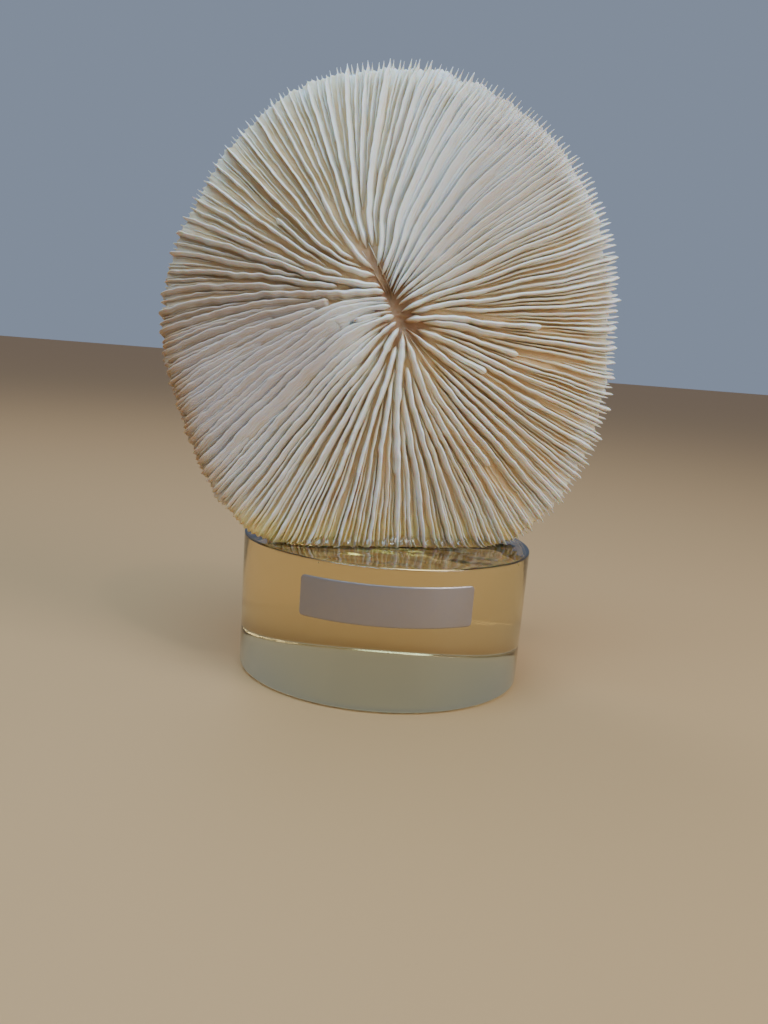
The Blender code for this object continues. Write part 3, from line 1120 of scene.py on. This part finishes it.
@dataclass
class CoralPlate:
    """The disc that carries the septa, with the ribs of its back.

    rib_starts and rib_heights have one value per order of septa. Rings of points run outwards over
    the front, around the edge and back in over the ribs.
    """

    form: DiscForm
    septa: list[Septum]
    columns_per_septum: int = 4
    front_shares: tuple[tuple[float, float, int], ...] = ((0.01, 0.3, 14), (0.36, 1.0, 12))
    edge_rings: Line = ((1.012, 0.25), (1.018, 0.5), (1.012, 0.75))
    back_shares: tuple[tuple[float, float, int], ...] = ((1.0, 0.3, 38), (0.27, 0.01, 10))
    front_grain: float = 0.14
    back_grain: float = 0.10
    jag_height: float = 0.35
    scallop_height: float = 0.25
    scar_radius: float = 8.0
    scar_height: float = 0.5
    rib_growth: float = 6.0
    rib_starts: tuple[float, ...] = (5.0, 11.0, 22.0, 38.0)
    rib_heights: tuple[float, ...] = (0.55, 0.50, 0.42, 0.32)
    rim_fades: Table = (0.75, 0.88, 0.92, 0.85, 0.6, 0.55, 0.55, 0.55, 0.55, 0.55, 0.7, 0.7)

    def build(self) -> bpy.types.Object:
        """Build the plate as one closed piece.

        Returns:
            The piece.
        """
        form = self.form
        step = self.columns_per_septum
        azimuths = np.array([septum.azimuth for septum in self.septa])
        gaps = np.append(azimuths[1:], azimuths[0] + TAU) - azimuths
        fine = (azimuths[:, None] + gaps[:, None] * np.arange(step)[None, :] / step).ravel()
        count = len(fine)
        way = np.stack((np.cos(fine), np.sin(fine)), -1)
        phase = np.arange(count) % step
        wave = np.cos(phase * TAU / step)
        jagged = self.jag_height * Waves(14, 6.0)(way * form.rim(fine)[:, None])
        jagged = jagged - self.scallop_height * (1.0 - wave)
        reach = form.rim(fine) - form.edge_inset(fine) + jagged
        rank = np.array([septum.order.value for septum in self.septa])
        order = np.where(phase <= step // 2, np.repeat(rank, step), np.repeat(np.roll(rank, -1), step))
        starts = np.array(self.rib_starts)[order]
        heights = np.array(self.rib_heights)[order]
        grain = Waves(12, 3.1, 12)
        fades = around(self.rim_fades, fine)
        far = np.zeros(count)
        rings = []
        for share in np.concatenate([np.linspace(*span) for span in self.front_shares]):
            point = way * (share * reach)[:, None]
            height = form.floor_level(point) + self.front_grain * grain(point)
            depth = 1.0 - fades * rise(np.array(share), 0.84, 0.98)
            rings.append((form.surface(point, height), depth, form.mouth_closeness(point)))
        for bulge, mix in self.edge_rings:
            point = way * (bulge * reach)[:, None]
            top = form.floor_level(point)
            height = top + (form.back_level(point) - top) * mix
            rings.append((form.surface(point, height), 0.8 * (1.0 - fades), far))
        for share in np.concatenate([np.linspace(*span) for span in self.back_shares]):
            distance = share * reach
            point = way * distance[:, None]
            grown = np.clip((distance - starts) / self.rib_growth, 0.0, 1.0)
            scar = np.exp(-((distance / self.scar_radius) ** 4))
            rib = heights * grown * (0.5 + 0.5 * wave) ** 1.5 * (1.0 - scar)
            uneven = SWELL_HEIGHT * BACK_SWELL(point) + self.back_grain * grain(point)
            uneven = uneven + self.scar_height * scar
            height = form.back_level(point) - rib + uneven
            rings.append((form.surface(point, height), 0.22 - 0.22 * wave * grown, far))
        middle = np.zeros((1, 2))
        rows = len(rings)
        rings.append((form.surface(middle, form.floor_level(middle)), [1.0], [1.0]))
        rings.append((form.surface(middle, form.back_level(middle) + self.scar_height), [0.2], [0.0]))
        points, depth, mouth = (np.concatenate(values) for values in zip(*rings))
        column = np.arange(count)
        after = (column + 1) % count
        last = (rows - 1) * count
        front_fan = np.stack((np.full(count, len(points) - 2), after, column), -1)
        back_fan = np.stack((np.full(count, len(points) - 1), last + column, last + after), -1)
        triangles = np.concatenate((closed_grid(rows, count), front_fan, back_fan))
        piece = mesh_object("coral_plate", form.to_row(points), triangles[:, ::-1])
        radius = np.hypot(points[:, 0], points[:, 1])
        radial = points[:, :2] * (14.0 / np.maximum(radius, 0.5))[:, None]
        fibre = np.concatenate((radial, 0.2 * radius[:, None]), -1)
        form.dress_points(piece, points[:, :2], depth, mouth, fibre)
        return piece


@dataclass
class BackSpines:
    """Small blunt spines in rows along the ribs of the coral's back.

    starts has one value per order of septa. rings has a spine's radii and heights from its foot
    up, and gaps the least and the widest space between two spines, in shares of spacing.
    """

    form: DiscForm
    septa: list[Septum]
    spacing: float = 2.3
    height: float = 0.75
    radius: float = 0.36
    sides: int = 6
    seed: int = 33
    starts: tuple[float, ...] = (11.0, 15.0, 26.0, 42.0)
    rings: Line = ((1.25, -0.25), (0.85, 0.35), (0.45, 0.85))
    gaps: Pair = (0.7, 1.35)
    aside: float = 0.12
    size_scatter: float = 0.22
    rim_distance: float = 2.8
    sunk: float = 0.4
    slant: float = 0.22
    peak_slant: float = 0.26
    foot_depth: float = 0.3
    shades: tuple[float, ...] = (0.3, 0.15, 0.05, 0.0)

    def feet(self) -> np.ndarray:
        """Scatter the spines' feet along the ribs.

        Returns:
            Right and up coordinates, share of the way to the rim and size, one row per spine.
        """
        rng = np.random.default_rng(self.seed)
        feet = []
        for septum in self.septa:
            distance = self.starts[septum.order.value] + rng.uniform(0.0, self.spacing)
            rim = float(self.form.rim(septum.azimuth))
            while distance < rim - self.rim_distance:
                angle = septum.azimuth + rng.normal(0.0, self.aside) / distance
                size = float(np.exp(rng.normal(0.0, self.size_scatter)))
                feet.append((distance * math.cos(angle), distance * math.sin(angle), distance / rim, size))
                distance += self.spacing * rng.uniform(*self.gaps)
        return np.array(feet)

    def pattern(self) -> np.ndarray:
        """Triangles of one spine, whose points are its rings, its peak and its foot.

        Returns:
            Three point numbers per triangle.
        """
        sides = self.sides
        faces = []
        for ring in range(2):
            for side in range(sides):
                one, two = ring * sides + side, ring * sides + (side + 1) % sides
                faces += [(one, one + sides, two), (two, one + sides, two + sides)]
        for side in range(sides):
            after = (side + 1) % sides
            faces += [(2 * sides + side, 3 * sides, 2 * sides + after), (side, after, 3 * sides + 1)]
        return np.array(faces)

    def build(self) -> bpy.types.Object:
        """Build all spines as one piece.

        Returns:
            The piece.
        """
        table = self.feet()
        point = table[:, :2]
        normal = self.form.normal(point)
        level = self.form.back_level(point) - self.sunk + SWELL_HEIGHT * BACK_SWELL(point)
        base = self.form.surface(point, level)
        size = table[:, 3] * (0.75 + 0.45 * table[:, 2])
        lean = np.concatenate((unit(point), np.zeros((len(point), 1))), -1)
        angles = np.arange(self.sides) * TAU / self.sides
        circle = np.stack((np.cos(angles), np.sin(angles), np.zeros(self.sides)), -1)
        parts = []
        for radius, height in self.rings:
            centre = base - normal * (size * self.height * height)[:, None]
            centre = centre + lean * (size * height * self.slant)[:, None]
            parts.append(centre[:, None, :] + circle[None] * (size * self.radius * radius)[:, None, None])
        peak = base - normal * (size * self.height)[:, None] + lean * (size * self.peak_slant)[:, None]
        foot = base + normal * (size * self.height * self.foot_depth)[:, None]
        each = np.concatenate((*parts, peak[:, None, :], foot[:, None, :]), 1)
        faces = self.pattern()[None] + (np.arange(len(each)) * each.shape[1])[:, None, None]
        points = each.reshape(-1, 3)
        piece = mesh_object("coral_back_spines", self.form.to_row(points), faces.reshape(-1, 3))
        depth = np.tile(np.repeat(self.shades, (*(self.sides,) * 3, 2)), len(each))
        self.form.dress_points(piece, points[:, :2], depth, np.zeros(len(points)), points)
        return piece


@dataclass
class ResinBlock:
    """The round block of clear resin, whose top climbs up the coral like a liquid.

    meniscus is how far the top climbs beside the coral and film how far within it. contact_range
    is where the climb fades, in shares of the way to the coral's outline, and edge_range where the
    flat top is free to climb, from the block's edge inwards.
    """

    form: DiscForm
    height: float = 37.3
    top_radius: float = 40.0
    bottom_radius: float = 39.5
    top_rounding: float = 0.55
    bottom_rounding: float = 0.7
    steps: int = 320
    rings: int = 130
    meniscus: float = 1.8
    meniscus_reach: float = 0.9
    film: float = 2.2
    film_reach: float = 2.6
    contact_range: Pair = (0.90, 1.01)
    edge_range: Pair = (0.2, 2.0)
    ripple: float = 0.03

    def profile(self) -> list[tuple[float, float]]:
        """Half outline of the block, from the top's centre to the underside's centre.

        Returns:
            Radii and heights.
        """
        flat = self.top_radius - self.top_rounding
        points = [(radius, self.height) for radius in np.linspace(0.0, flat, self.rings)]
        for angle in np.linspace(0.0, math.pi / 2.0, 6)[1:]:
            height = self.height - self.top_rounding * (1.0 - math.cos(angle))
            points.append((flat + self.top_rounding * math.sin(angle), height))
        flat = self.bottom_radius - self.bottom_rounding
        for angle in np.linspace(0.0, math.pi / 2.0, 8):
            height = self.bottom_rounding * (1.0 - math.sin(angle))
            points.append((flat + self.bottom_rounding * math.cos(angle), height))
        points.extend((radius, 0.0) for radius in np.linspace(flat, 0.0, 8)[1:])
        return points

    def build(self) -> bpy.types.Object:
        """Spin the outline into the block and raise its top around the coral.

        Returns:
            The block.
        """
        outline = [(radius * MM, 0.0, height * MM) for radius, height in self.profile()]
        mesh = bpy.data.meshes.new("resin_clear")
        mesh.from_pydata(outline, [(index, index + 1) for index in range(len(outline) - 1)], [])
        block = bpy.data.objects.new("resin_clear", mesh)
        bpy.context.scene.collection.objects.link(block)
        bpy.ops.object.select_all(action="DESELECT")
        block.select_set(True)
        bpy.context.view_layer.objects.active = block
        bpy.ops.object.mode_set(mode="EDIT")
        bpy.ops.mesh.select_all(action="SELECT")
        bpy.ops.mesh.spin(steps=self.steps, angle=TAU, center=(0.0, 0.0, 0.0), axis=(0.0, 0.0, 1.0))
        bpy.ops.mesh.select_all(action="SELECT")
        bpy.ops.mesh.remove_doubles(threshold=0.00001)
        bpy.ops.mesh.normals_make_consistent(inside=False)
        bpy.ops.mesh.faces_shade_smooth()
        bpy.ops.object.mode_set(mode="OBJECT")
        points = np.empty(len(mesh.vertices) * 3, np.float32)
        mesh.vertices.foreach_get("co", points)
        points = points.reshape(-1, 3).astype(float)
        top = points[:, 2] > (self.height - 0.001) * MM
        points[top, 2] += self.climb(points[top] / MM) * MM
        mesh.vertices.foreach_set("co", points.astype(np.float32).ravel())
        mesh.update()
        return block

    def climb(self, place: np.ndarray) -> np.ndarray:
        """How far the resin's top climbs at each place.

        Args:
            place: points of the flat top, in millimetres.

        Returns:
            The heights over the flat top.
        """
        form = self.form
        local = (place - np.array(form.centre)) @ form.axes.T
        point = local[:, :2]
        front = form.warp(point) + form.crest_level(point)
        back = form.warp(point) + form.back_level(point)
        off = np.maximum(local[:, 2] - front, back - local[:, 2])
        uneven = 1.0 + 0.25 * Waves(41, 7.0)(point) + 0.15 * Waves(44, 2.6)(point)
        outside = self.meniscus * uneven * np.exp(-np.maximum(off, 0.0) / self.meniscus_reach)
        soaked = (self.film - self.meniscus) * uneven * rise(-off, 0.0, self.film_reach)
        inside = 1.0 - rise(form.share(point), *self.contact_range)
        rim = rise(self.top_radius - np.hypot(place[:, 0], place[:, 1]), *self.edge_range)
        return ((outside + soaked) * inside + self.ripple * Waves(43, 8.0)(place[:, :2])) * rim


@dataclass
class FoilLabel:
    """The thin bare foil label that is wrapped around the front of the block."""

    block: ResinBlock
    width: float = 45.5
    height: float = 10.6
    thickness: float = 0.2
    centre_height: float = 27.7
    turn: float = 1.5
    gap: float = 0.28
    corner: float = 1.1
    rolled: float = 0.45
    roll_depth: float = 0.16
    bends: int = 48
    straight_ends: float = 2.4

    def cut(self, place: float, side: int) -> None:
        """Cut the whole foil along one plane.

        Args:
            place: the plane's place on its axis.
            side: number of that axis.
        """
        way = np.eye(3)[side]
        bpy.ops.mesh.select_all(action="SELECT")
        bpy.ops.mesh.bisect(plane_co=tuple(way * place * MM), plane_no=tuple(way))

    def build(self) -> bpy.types.Object:
        """Cut the foil flat, round its corners and wrap it around the wall.

        Returns:
            The label.
        """
        bpy.ops.object.select_all(action="DESELECT")
        bpy.ops.mesh.primitive_cube_add(size=1.0)
        foil = bpy.context.active_object
        foil.name = "foil_label"
        bpy.ops.object.mode_set(mode="EDIT")
        bpy.ops.mesh.select_mode(type="EDGE")
        bpy.ops.mesh.select_all(action="SELECT")
        bpy.ops.transform.resize(value=(self.width * MM, self.thickness * MM, self.height * MM))
        bpy.ops.mesh.select_all(action="DESELECT")
        bpy.ops.object.mode_set(mode="OBJECT")
        for edge in foil.data.edges:
            one, two = (foil.data.vertices[index].co for index in edge.vertices)
            edge.select = abs(one.y - two.y) > 0.5 * self.thickness * MM
        bpy.ops.object.mode_set(mode="EDIT")
        bpy.ops.mesh.bevel(offset=self.corner * MM, segments=5, affect="EDGES")
        for share in np.linspace(-0.5, 0.5, self.bends + 1)[1:-1]:
            self.cut(share * (self.width - self.straight_ends), 0)
        for inset in (0.25, 0.5, 0.75, 1.0):
            for side in (-1.0, 1.0):
                self.cut(side * (self.height / 2.0 - self.rolled * inset), 2)
        bpy.ops.mesh.select_all(action="SELECT")
        bpy.ops.mesh.normals_make_consistent(inside=False)
        bpy.ops.object.mode_set(mode="OBJECT")
        slope = (self.block.top_radius - self.block.bottom_radius) / self.block.height
        for vertex in foil.data.vertices:
            place = vertex.co / MM
            height = place.z + self.centre_height
            radius = self.block.bottom_radius + slope * height + self.gap + self.thickness / 2.0 - place.y
            near_edge = max(0.0, 1.0 - (self.height / 2.0 - abs(place.z)) / self.rolled)
            radius -= self.roll_depth * near_edge ** 2
            angle = place.x / self.block.top_radius + math.radians(self.turn)
            vertex.co = Vector((radius * math.sin(angle), -radius * math.cos(angle), height)) * MM
        bpy.ops.object.shade_smooth_by_angle(angle=math.radians(40.0))
        return foil


@dataclass
class NodeBook:
    """A tree of shader nodes, with a short way to add nodes and join them."""

    tree: bpy.types.NodeTree

    def fill(self, node: bpy.types.Node, inputs: dict[str | int, object]) -> None:
        """Give a node's inputs a value each, or join them to another node's output.

        Args:
            node: the node.
            inputs: values or outputs by the inputs' names or numbers.
        """
        for name, value in inputs.items():
            if isinstance(value, bpy.types.NodeSocket):
                self.tree.links.new(value, node.inputs[name])
            else:
                node.inputs[name].default_value = value

    def add(
        self, kind: str, output: str, inputs: dict[str | int, object], **options: str
    ) -> bpy.types.NodeSocket:
        """Add a node.

        Args:
            kind: the node's type.
            output: name of the output that is wanted.
            inputs: values or outputs by the inputs' names or numbers.
            options: the node's own options.

        Returns:
            The output.
        """
        node = self.tree.nodes.new("ShaderNode" + kind)
        for option, value in options.items():
            setattr(node, option, value)
        self.fill(node, inputs)
        return node.outputs[output]

    def blend(
        self, factor: bpy.types.NodeSocket, start: object, end: object, kind: str = "MIX"
    ) -> bpy.types.NodeSocket:
        """Blend two colours.

        Args:
            factor: output that says how far.
            start: the first colour.
            end: the second colour.
            kind: way of blending.

        Returns:
            The blended colour's output.
        """
        inputs = {"Factor": factor, "A": start, "B": end}
        return self.add("Mix", "Result", inputs, data_type="RGBA", blend_type=kind)


def new_material(name: str) -> tuple[bpy.types.Material, NodeBook, bpy.types.Node]:
    """Make a material.

    Args:
        name: its name.

    Returns:
        The material, its nodes and its shader.
    """
    material = bpy.data.materials.new(name)
    material.use_nodes = True
    return material, NodeBook(material.node_tree), material.node_tree.nodes["Principled BSDF"]


class Studio:
    """The pale floor, the soft lights and the camera.

    Each light is a name, a place, a target, a size, a power and a colour.
    """

    focal_pixels = 1002.2
    frame_height_pixels = 1024.0
    sensor = 36.0
    camera_place = Vector((-0.00148, -0.27775, 0.09273))
    pitch = 9.93
    roll = 4.44
    lights = (
        ("window_light", (0.48, -0.36, 0.42), (0.0, 0.0, 0.08), 0.35, 3.0, (1.0, 0.99, 0.96)),
        ("top_light", (-0.12, -0.22, 0.70), (0.0, 0.0, 0.1), 0.45, 4.6, (0.46, 0.75, 1.0)),
        ("glint_light", (0.10, -0.30, 0.66), (0.0, 0.0, 0.05), 0.04, 0.45, (1.0, 0.98, 0.95)),
        ("back_fill", (-0.22, 0.42, 0.70), (0.0, 0.0, 0.1), 0.4, 1.5, (1.0, 0.99, 0.97)),
    )

    def build_floor(self) -> bpy.types.Object:
        """Build the floor.

        Returns:
            The floor.
        """
        bpy.ops.object.select_all(action="DESELECT")
        bpy.ops.mesh.primitive_plane_add(size=6.0, location=(0.0, 0.0, -0.3 * MM))
        floor = bpy.context.active_object
        floor.name = "studio_floor"
        material, book, shader = new_material("pale_floor")
        book.fill(shader, {"Base Color": (0.47, 0.29, 0.135, 1.0), "Roughness": 0.6})
        floor.data.materials.append(material)
        return floor

    def build_lights(self) -> None:
        """Surround the object with a pale room and place the soft lights."""
        world = bpy.data.worlds.new("studio_world")
        bpy.context.scene.world = world
        world.use_nodes = True
        book = NodeBook(world.node_tree)
        way = book.add("TexCoord", "Generated", {})
        height = book.add("SeparateXYZ", "Z", {0: way})
        limits = {"Value": height, "From Min": 0.31, "From Max": 0.35}
        above = book.add("MapRange", "Result", limits, interpolation_type="SMOOTHSTEP")
        room = book.blend(above, (0.53, 0.64, 0.86, 1.0), (0.72, 0.76, 0.82, 1.0))
        book.fill(world.node_tree.nodes["Background"], {"Strength": 0.42, "Color": room})
        for name, place, target, size, power, color in self.lights:
            light = bpy.data.lights.new(name, "AREA")
            light.size = size
            light.energy = power
            light.color = color
            lamp = bpy.data.objects.new(name, light)
            lamp.location = place
            lamp.rotation_euler = (Vector(target) - Vector(place)).to_track_quat("-Z", "Y").to_euler()
            bpy.context.scene.collection.objects.link(lamp)

    def build_camera(self) -> None:
        """Place the camera at the photograph's viewing angle."""
        camera = bpy.data.cameras.new("photo_camera")
        camera.sensor_fit = "VERTICAL"
        camera.sensor_height = self.sensor
        camera.lens = self.focal_pixels / self.frame_height_pixels * self.sensor
        camera.clip_start = 0.01
        pitch = math.radians(self.pitch)
        roll = math.radians(self.roll)
        forward = Vector((0.0, math.cos(pitch), -math.sin(pitch)))
        level_up = Vector((0.0, math.sin(pitch), math.cos(pitch)))
        level_right = Vector((1.0, 0.0, 0.0))
        right = level_right * math.cos(roll) + level_up * math.sin(roll)
        up = level_up * math.cos(roll) - level_right * math.sin(roll)
        body = bpy.data.objects.new("photo_camera", camera)
        turn = Matrix((right, up, -forward)).transposed().to_4x4()
        body.matrix_world = Matrix.Translation(self.camera_place) @ turn
        bpy.context.scene.collection.objects.link(body)
        bpy.context.scene.camera = body


@dataclass(frozen=True)
class CoralFinish:
    """Dry white skeleton, stained amber deep between the septa and brown in the mouth, with painted shade
    towards the lower left and a golden soaked tint near the resin that is lightened as painted light.
    """

    crest: Triple = (0.88, 0.88, 0.86)
    flank: Triple = (0.80, 0.71, 0.54)
    deep: Triple = (0.73, 0.52, 0.29)
    # colour of the painted shade that is multiplied in towards the lower left
    painted_shade: Triple = (0.58, 0.50, 0.475)
    mouth: Triple = (0.46, 0.28, 0.16)
    # golden resin-soaked tint, made lighter as painted light where the resin keeps the lamps' light off the
    # coral
    wet_tint_and_painted_light: Triple = (0.86, 0.68, 0.30)
    wet_low: float = 0.0385
    wet_high: float = 0.0500
    glow: float = 0.6
    glow_reach: float = 0.0011

    def material(self) -> bpy.types.Material:
        """Make the skeleton's material.

        Returns:
            The material.
        """
        material, book, shader = new_material("coral_skeleton_fine")
        under, painted_shade_share, mouth = (
            book.add("Attribute", "Fac", {}, attribute_name=name) for name in ("depth", "painted_shade", "mouth")
        )
        way = book.add("Attribute", "Vector", {}, attribute_name="fibre")
        fibre = book.add("TexNoise", "Fac", {"Vector": way, "Scale": 1.0, "Detail": 2.0})
        streak = book.add("Math", "Value", {0: fibre, 1: 1.1, 2: -0.55}, operation="MULTIPLY_ADD")
        depth = book.add("Math", "Value", {0: under, 1: streak}, operation="ADD")
        tones = book.add("ValToRGB", "Color", {"Fac": depth})
        stops = tones.node.color_ramp.elements
        stops[0].position = 0.08
        stops[0].color = (*self.crest, 1.0)
        stops[1].position = 0.80
        stops[1].color = (*self.deep, 1.0)
        stops.new(0.34).color = (*self.flank, 1.0)
        stain = book.add("Math", "Value", {0: depth, 1: mouth}, operation="MULTIPLY")
        browned = book.add("MapRange", "Result", {"Value": stain, "From Min": 0.06, "From Max": 0.50})
        color = book.blend(browned, tones, (*self.mouth, 1.0))
        # Multiply in the painted shade towards the lower left.
        color = book.blend(painted_shade_share, color, (*self.painted_shade, 1.0), "MULTIPLY")
        place = book.add("TexCoord", "Object", {})
        height = book.add("SeparateXYZ", "Z", {0: place})
        limits = {"Value": height, "From Min": self.wet_high, "From Max": self.wet_low}
        wetness = book.add("MapRange", "Result", limits, interpolation_type="SMOOTHSTEP")
        soaked = book.add("MapRange", "Result", {"Value": depth, "From Max": 0.3, "To Max": wetness})
        # Paint the soaked tint, lightened as painted light, into the deep parts near and under the resin.
        color = book.blend(soaked, color, (*self.wet_tint_and_painted_light, 1.0))
        gloss = book.add("MapRange", "Result", {"Value": wetness, "To Min": 0.60, "To Max": 0.25})
        grain = book.add("TexNoise", "Fac", {"Vector": place, "Scale": 2600.0, "Detail": 3.0})
        fibrous = book.add("Bump", "Normal", {"Strength": 0.6, "Distance": 0.0003, "Height": fibre})
        rough = {"Strength": 0.7, "Distance": 0.0002, "Height": grain, "Normal": fibrous}
        book.fill(shader, {
            "Base Color": color,
            "Roughness": gloss,
            "Normal": book.add("Bump", "Normal", rough),
            "Specular IOR Level": 0.35,
            "Subsurface Weight": self.glow,
            "Subsurface Radius": (1.0, 0.6, 0.3),
            "Subsurface Scale": self.glow_reach,
        })
        return material


@dataclass(frozen=True)
class ResinFinish:
    """Clear cast resin that is tinted yellow amber right through."""

    roughness: float = 0.035
    ior: float = 1.52
    tint: Triple = (0.86, 0.69, 0.14)
    density: float = 14.0

    def material(self) -> bpy.types.Material:
        """Make the resin's material.

        Returns:
            The material.
        """
        material, book, shader = new_material("resin_clear_amber")
        shader.inputs["Base Color"].default_value = (1.0, 1.0, 1.0, 1.0)
        shader.inputs["Transmission Weight"].default_value = 1.0
        shader.inputs["Roughness"].default_value = self.roughness
        shader.inputs["IOR"].default_value = self.ior
        tinted = {"Color": (*self.tint, 1.0), "Density": self.density}
        volume = book.add("VolumeAbsorption", "Volume", tinted)
        book.fill(material.node_tree.nodes["Material Output"], {"Volume": volume})
        return material


@dataclass(frozen=True)
class FoilFinish:
    """Thin dull silver foil."""

    color: Triple = (0.36, 0.32, 0.315)
    metallic: float = 0.75
    polished: float = 0.31
    dull: float = 0.45

    def material(self) -> bpy.types.Material:
        """Make the foil's material.

        Returns:
            The material.
        """
        material, book, shader = new_material("foil_silver")
        place = book.add("TexCoord", "Object", {})
        rubbed = book.add("TexNoise", "Fac", {"Vector": place, "Scale": 420.0, "Detail": 4.0})
        limits = {"From Min": 0.3, "From Max": 0.7, "To Min": self.polished, "To Max": self.dull}
        book.fill(shader, {
            "Base Color": (*self.color, 1.0),
            "Metallic": self.metallic,
            "Roughness": book.add("MapRange", "Result", {"Value": rubbed, **limits}),
            "Normal": book.add("Bump", "Normal", {"Strength": 0.35, "Distance": 0.0001, "Height": rubbed}),
        })
        return material


def dress(piece: bpy.types.Object, material: bpy.types.Material, node: str) -> None:
    """Give a piece its material and tie it to the frame.

    Args:
        piece: the mesh object.
        material: its finish.
        node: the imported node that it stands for.
    """
    piece.data.materials.clear()
    piece.data.materials.append(material)
    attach(piece, "root")
    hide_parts(node)
    LOG.info("%s: %d faces", piece.name, len(piece.data.polygons))


def main() -> None:
    """Build every piece in order."""
    logging.basicConfig(level=logging.INFO, format="%(message)s")
    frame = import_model()
    bpy.ops.object.select_all(action="DESELECT")
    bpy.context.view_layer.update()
    form = DiscForm()
    coral_material = CoralFinish().material()
    plan = SeptaPlan(form)
    septa = plan.grow()
    blades = SeptaBlades(form, plan)
    for name, orders in (
        ("coral_stout_septa", (Order.FIRST, Order.SECOND)),
        ("coral_middle_septa", (Order.THIRD,)),
        ("coral_fine_septa", (Order.FOURTH,)),
    ):
        dress(blades.build(name, orders, septa + plan.edges()), coral_material, "coral")
    dress(CoralPlate(form, septa).build(), coral_material, "coral")
    dress(BackSpines(form, septa).build(), coral_material, "coral")
    block = ResinBlock(form)
    dress(block.build(), ResinFinish().material(), "resin_base")
    dress(FoilLabel(block).build(), FoilFinish().material(), "label")
    studio = Studio()
    studio.build_floor()
    studio.build_lights()
    studio.build_camera()
    LOG.info("nodes: %s", sorted(frame["nodes"]))


if __name__ == "__main__":
    main()
